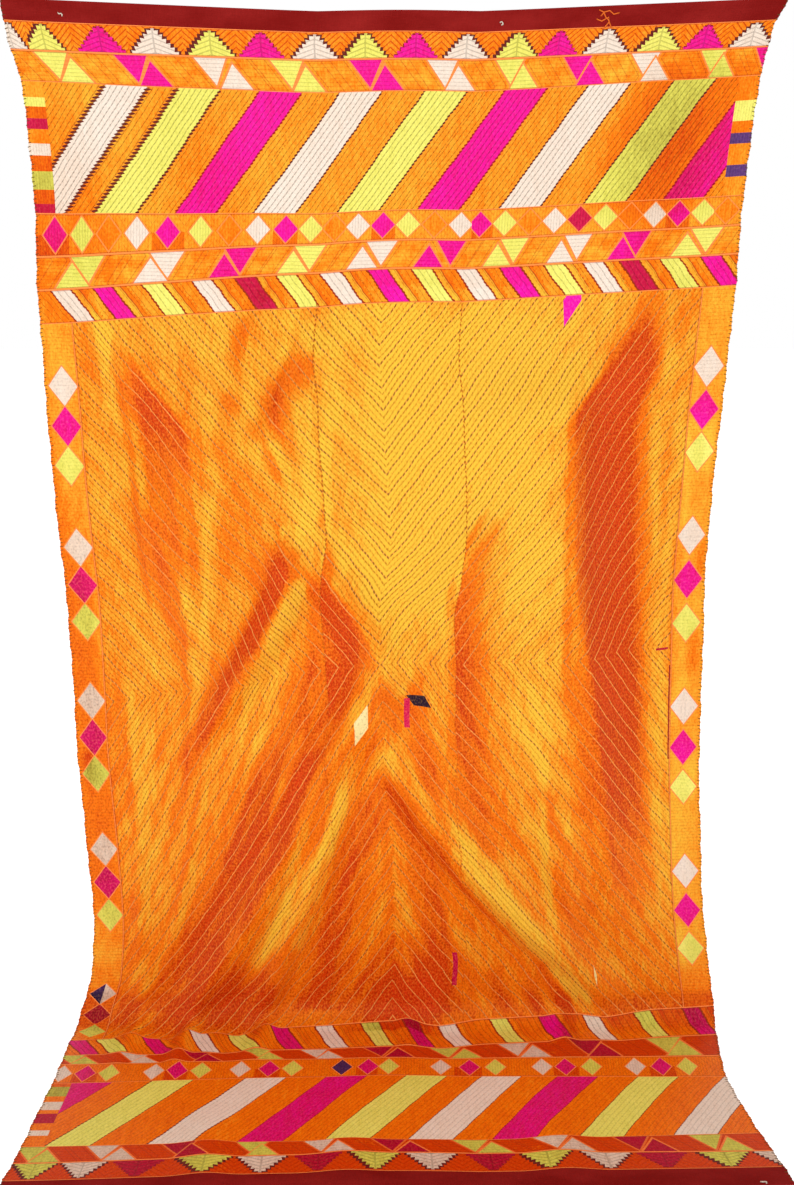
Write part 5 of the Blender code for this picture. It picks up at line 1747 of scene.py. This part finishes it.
def wall(cloth, panel, materials):
    """One length of the shawl as a closed wall with its maps, tone and looks."""
    columns = panel_columns(panel)
    downs, bands, shares = panel_rows(columns)
    across = np.broadcast_to(columns, downs.shape).copy()
    uneven = ragged(across, downs)
    fronts = cloth.place(uneven, downs, WALL_LIFT)
    backs = cloth.place(uneven, downs, 0.0)

    faces, ring = grid_faces(*downs.shape)
    row_of_face = np.repeat(np.arange(len(downs) - 1), len(columns) - 1)
    upper, lower = shares[row_of_face].T
    share = np.stack([upper, lower, lower, upper], axis=1)
    face_across = corners_of(across, faces)
    face_down = corners_of(downs, faces)
    first, second, looks = face_maps(face_across, face_down, share, bands[row_of_face])

    # Fronts are the first half of the points, backs the second
    count = downs.size
    onward = np.roll(ring, -1)
    rims = np.stack([ring, onward, count + onward, count + ring], axis=1)
    all_faces = np.concatenate([faces, count + faces[:, BACKWARDS], rims])
    points = np.concatenate([fronts.reshape(-1, 3), backs.reshape(-1, 3)])
    mesh = bpy.data.meshes.new(panel.name + "_cloth")
    mesh.from_pydata(points.tolist(), [], all_faces.tolist())

    flat_across = np.concatenate([across.ravel(), across.ravel()])
    flat_down = np.concatenate([downs.ravel(), downs.ravel()])
    place = np.stack([flat_across[all_faces], flat_down[all_faces]], axis=2)
    rim_map = 1.0 - BAKE_GAP / 2 + place[-len(rims):] * RIM_SCALE
    add_map(mesh, "OFBake", np.concatenate([
        bake_map(panel, face_across, face_down, False),
        bake_map(panel, face_across[:, BACKWARDS], face_down[:, BACKWARDS], True), rim_map]))
    add_map(mesh, "cloth", place)
    for name, corners in (("motif", first), ("second", second)):
        add_map(mesh, name, np.concatenate([corners, corners[:, BACKWARDS],
                                            np.zeros((len(rims), 4, 2))]))
    attribute = mesh.attributes.new("tone", "FLOAT", "POINT")
    tone = painted_light_tone(cloth, panel, flat_across, flat_down)
    attribute.data.foreach_set("value", tone.astype(np.float32))

    add_looks(mesh, looks, len(rims), materials)
    mesh.shade_smooth()
    mesh.set_sharp_from_angle(angle=SHARP_ANGLE)
    return new_object(panel.name + "_embroidered", mesh)


# ---- Threads that stand out from the cloth ---------------------------------------------
THREAD_SIDES = 6
THREAD_RADIUS = 0.00055
THREAD_GRAINS = 700.0
THREAD_SHADE = 0.45
THREAD_SPECULAR = 0.12
THREAD_BUMP = 0.0002
STITCH_RISE = 0.0003

EDGE_THREAD = (0.15, 0.075, 0.018)
EDGE_STITCH = 0.0068
EDGE_BITE = 0.0042
EDGE_SLANT = 0.0016
# Share of a turn by which each bite differs from the one before
BITE_TURN = 0.618

SEAM_BITE = 0.0013
SEAM_SLANT = 0.0020
FIELD_END = next(band.middle for band in BANDS if band.name == "field")

LOOSE_RADIUS = 0.0011
LOOSE_COLOURS = {"orange": (0.92, 0.17, 0.020), "white": (0.80, 0.68, 0.56)}

# Ends of thread that lie loose on the cloth, by the places that each one passes
LooseThread = namedtuple("LooseThread", "colour across down")
LOOSE_THREADS = (
    LooseThread("orange", (0.974, 0.983, 0.990, 0.996, 1.006), (0.006, 0.010, 0.018, 0.022, 0.034)),
    LooseThread("orange", (0.981, 0.984, 0.992, 1.001, 1.010), (0.016, 0.010, 0.008, 0.014, 0.012)),
    LooseThread("orange", (0.976, 0.986, 0.995, 0.999, 0.994), (0.020, 0.024, 0.018, 0.026, 0.036)),
    LooseThread("white", (0.092, 0.094, 0.097, 0.099, 0.098), (0.019, 0.021, 0.020, 0.022, 0.024)),
    LooseThread("white", (0.817, 0.820, 0.822, 0.823, 0.821), (0.019, 0.018, 0.020, 0.022, 0.023)),
    LooseThread("white", (1.226, 1.229, 1.233, 1.235, 1.234), (2.292, 2.294, 2.293, 2.295, 2.297)),
)


def thread_material(name, colour):
    """Twisted thread of one colour."""
    material, shader = new_material("thread_" + name, SILK_ROUGHNESS)
    tree = material.node_tree
    source = tree.nodes.new("ShaderNodeTexCoord")
    parts = tree.nodes.new("ShaderNodeSeparateXYZ")
    tree.links.new(source.outputs["Object"], parts.inputs[0])
    grain = noise(tree, Wire(tree, parts.outputs[0]) * THREAD_GRAINS,
                  Wire(tree, parts.outputs[2]) * THREAD_GRAINS)
    dark = tuple(channel * THREAD_SHADE for channel in colour)
    paint(tree, shader, blend(colour, dark, grain), THREAD_SPECULAR)
    add_bump(tree, shader, grain, THREAD_BUMP)
    return material


def threads(name, cloth, across, down, lift, material, radius=THREAD_RADIUS):
    """Threads as one joined mesh, each a closed tube along a row of places."""
    paths = cloth.place(across, down, lift)
    normals = cloth.normal(np.clip(across, 0.0, CLOTH_WIDTH), down)
    along = np.gradient(paths, axis=1)
    along = along / np.linalg.norm(along, axis=2)[..., None]
    side = np.cross(along, normals)
    side = side / np.linalg.norm(side, axis=2)[..., None]
    turn = np.linspace(0.0, 2 * math.pi, THREAD_SIDES, endpoint=False)[:, None]
    ring = np.cos(turn) * side[:, :, None] + np.sin(turn) * np.cross(side, along)[:, :, None]
    points = paths[:, :, None] + radius * ring
    numbers = np.arange(points.size // 3).reshape(points.shape[:3])
    onward = np.roll(numbers, -1, axis=2)
    sides = np.stack([numbers[:, :-1], numbers[:, 1:], onward[:, 1:], onward[:, :-1]], axis=-1)
    faces = sides.reshape(-1, 4).tolist()
    faces += numbers[:, 0].tolist() + numbers[:, -1, ::-1].tolist()
    mesh = bpy.data.meshes.new(name)
    mesh.from_pydata(points.reshape(-1, 3).tolist(), [], faces)
    mesh.materials.append(material)
    mesh.shade_smooth()
    piece = new_object(name, mesh)
    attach(piece, "root")


def seam_stitches(cloth, name, seam, material):
    """Short stitches that cross a seam at a slant, along the field."""
    down = np.arange(FIELD_FROM, FIELD_END, SEAM_STITCH)[:, None]
    share = np.asarray([-1.0, -0.6, 0.0, 0.6, 1.0])
    rise = STITCH_RISE * np.asarray([-1.0, 0.6, 1.0, 0.6, -1.0])
    across = seam + SEAM_BITE * share + 0.0 * down
    threads(name, cloth, across, down + SEAM_SLANT * share, WALL_LIFT + rise + 0.0 * down,
            material)


def edge_stitches(cloth, name, edge, inward, material):
    """Overcast stitches round one side edge, from the silk side to the back."""
    down = np.arange(EDGE_STITCH, CLOTH_LENGTH - EDGE_STITCH, EDGE_STITCH)[:, None]
    number = np.arange(len(down))[:, None]
    bite = EDGE_BITE * (0.75 + 0.5 * np.modf(number * BITE_TURN)[0])
    share = np.asarray([1.0, 0.8, 0.3, 0.0, 0.0, 0.3, 0.8, 1.0])
    outwards = np.asarray([0.0, 0.0, 0.0, 1.0, 1.0, 0.0, 0.0, 0.0]) * THREAD_RADIUS * 0.8
    lift = (WALL_LIFT * np.asarray([1.0, 1.0, 1.0, 1.0, 0.0, 0.0, 0.0, 0.0])
            + STITCH_RISE * np.asarray([-1.0, 1.0, 1.0, 0.0, 0.0, -1.0, -1.0, 1.0]))
    rim = ragged(edge + 0.0 * down, down)
    across = rim + inward * (bite * share - outwards)
    slant = np.linspace(-EDGE_SLANT, EDGE_SLANT, len(share))
    threads(name, cloth, across, down + slant, lift + 0.0 * down, material)


def loose_threads(cloth, materials):
    """The few ends of floss that lie on the plain ends of the cloth."""
    lift = WALL_LIFT + LOOSE_RADIUS * np.asarray([[0.0, 1.2, 0.6, 1.4, 0.0]])
    for number, thread in enumerate(LOOSE_THREADS, start=1):
        threads(f"loose_thread_{number}", cloth, np.asarray([thread.across]),
                np.asarray([thread.down]), lift, materials[thread.colour], LOOSE_RADIUS)


# ---- Floor, light and camera -----------------------------------------------------------
FLOOR_GAP = 0.0006
FLOOR_SIZE = 80.0
FLOOR_GLOW = 0.55
FLOOR_COLOURS = ((0.86, 0.86, 0.86), (0.90, 0.90, 0.90))
FLOOR_GRAINS = 3.0
FLOOR_ROUGHNESS = 0.9
FLOOR_SPECULAR = 0.1
WHITE = (1.0, 1.0, 1.0, 1.0)
CAMERA_PLACE = (0.0, -2.26, -0.473)
CAMERA_TILT = math.radians(12.5)
CAMERA_NEAR = 0.05
PHOTO_HEIGHT = 1185.0
FOCAL_PIXELS = 1289.0
SENSOR_HEIGHT = 36.0


def add_floor():
    """A plain pale floor under the hem."""
    half = FLOOR_SIZE / 2
    height = -FLOOR_DROP - FLOOR_GAP
    mesh = bpy.data.meshes.new("floor")
    mesh.from_pydata([(-half, -half, height), (half, -half, height),
                      (half, half, height), (-half, half, height)], [], [(0, 1, 2, 3)])
    material, shader = new_material("floor_paint", FLOOR_ROUGHNESS)
    tree = material.node_tree
    source = tree.nodes.new("ShaderNodeNewGeometry")
    parts = tree.nodes.new("ShaderNodeSeparateXYZ")
    tree.links.new(source.outputs["Position"], parts.inputs[0])
    grain = noise(tree, Wire(tree, parts.outputs[0]) * FLOOR_GRAINS,
                  Wire(tree, parts.outputs[1]) * FLOOR_GRAINS)
    paint(tree, shader, blend(*FLOOR_COLOURS, grain), FLOOR_SPECULAR)
    shader.inputs["Emission Color"].default_value = WHITE
    shader.inputs["Emission Strength"].default_value = FLOOR_GLOW
    mesh.materials.append(material)
    floor = new_object("floor", mesh)


Lamp = namedtuple("Lamp", "name place target size power")
LAMPS = (
    Lamp("key", (-0.25, -2.6, 0.75), (0.0, 0.0, -0.75), 0.9, 19.5),
    Lamp("low_fill", (-0.5, -2.5, -1.0), (0.0, 0.0, -1.5), 1.6, 11.0),
    Lamp("back_fill", (0.0, 2.6, 0.6), (0.0, 0.0, -0.9), 2.2, 16.0),
)
WORLD_LIGHT = 0.76
WORLD_SEEN = 1.0


def add_lamps():
    """Soft studio light, mostly from in front of the cloth's middle."""
    for lamp in LAMPS:
        light = bpy.data.lights.new(lamp.name, "AREA")
        light.shape = "DISK"
        light.size = lamp.size
        light.energy = lamp.power
        holder = new_object(lamp.name, light)
        holder.location = lamp.place
        aim = np.subtract(lamp.target, lamp.place)
        sideways = math.atan2(-aim[0], aim[1])
        upward = math.atan2(aim[2], math.hypot(aim[0], aim[1]))
        holder.rotation_euler = (math.pi / 2 + upward, 0.0, sideways)
    world = bpy.data.worlds.new("studio")
    world.use_nodes = True
    bpy.context.scene.world = world
    tree = world.node_tree
    background = tree.nodes["Background"]
    background.inputs["Color"].default_value = WHITE
    seen = Wire(tree, tree.nodes.new("ShaderNodeLightPath").outputs["Is Camera Ray"])
    connect(background, "Strength", WORLD_LIGHT + (WORLD_SEEN - WORLD_LIGHT) * seen)


def add_camera():
    """A camera that looks at the cloth as the picture does."""
    camera = bpy.data.cameras.new("camera")
    camera.sensor_fit = "VERTICAL"
    camera.sensor_height = SENSOR_HEIGHT
    camera.lens = FOCAL_PIXELS / PHOTO_HEIGHT * SENSOR_HEIGHT
    camera.clip_start = CAMERA_NEAR
    holder = new_object("camera", camera)
    holder.location = CAMERA_PLACE
    holder.rotation_euler = (math.pi / 2 - CAMERA_TILT, 0.0, 0.0)
    bpy.context.scene.camera = holder


def main():
    """Build the dressed shawl and its studio."""
    cloth = Cloth()
    looks = sorted({band.look for band in BANDS}) + ["border"] + sorted(BARS)
    materials = {("front", look): front_material(look) for look in looks}
    materials.update({("back", look): back_material(look) for look in looks})
    for panel in PANELS:
        piece = wall(cloth, panel, materials)
        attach(piece, "root")
        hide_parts(panel.name)
    edge_thread = thread_material("edge", EDGE_THREAD)
    edge_stitches(cloth, "edge_stitches_left", 0.0, 1.0, edge_thread)
    edge_stitches(cloth, "edge_stitches_right", CLOTH_WIDTH, -1.0, edge_thread)
    seam_thread = thread_material("seam", SILKS["orange"].middle)
    for panel in PANELS[1:]:
        seam_stitches(cloth, panel.name + "_seam_stitches", panel.start, seam_thread)
    loose_threads(cloth, {name: thread_material(name, colour)
                          for name, colour in LOOSE_COLOURS.items()})
    add_floor()
    add_lamps()
    add_camera()


main()
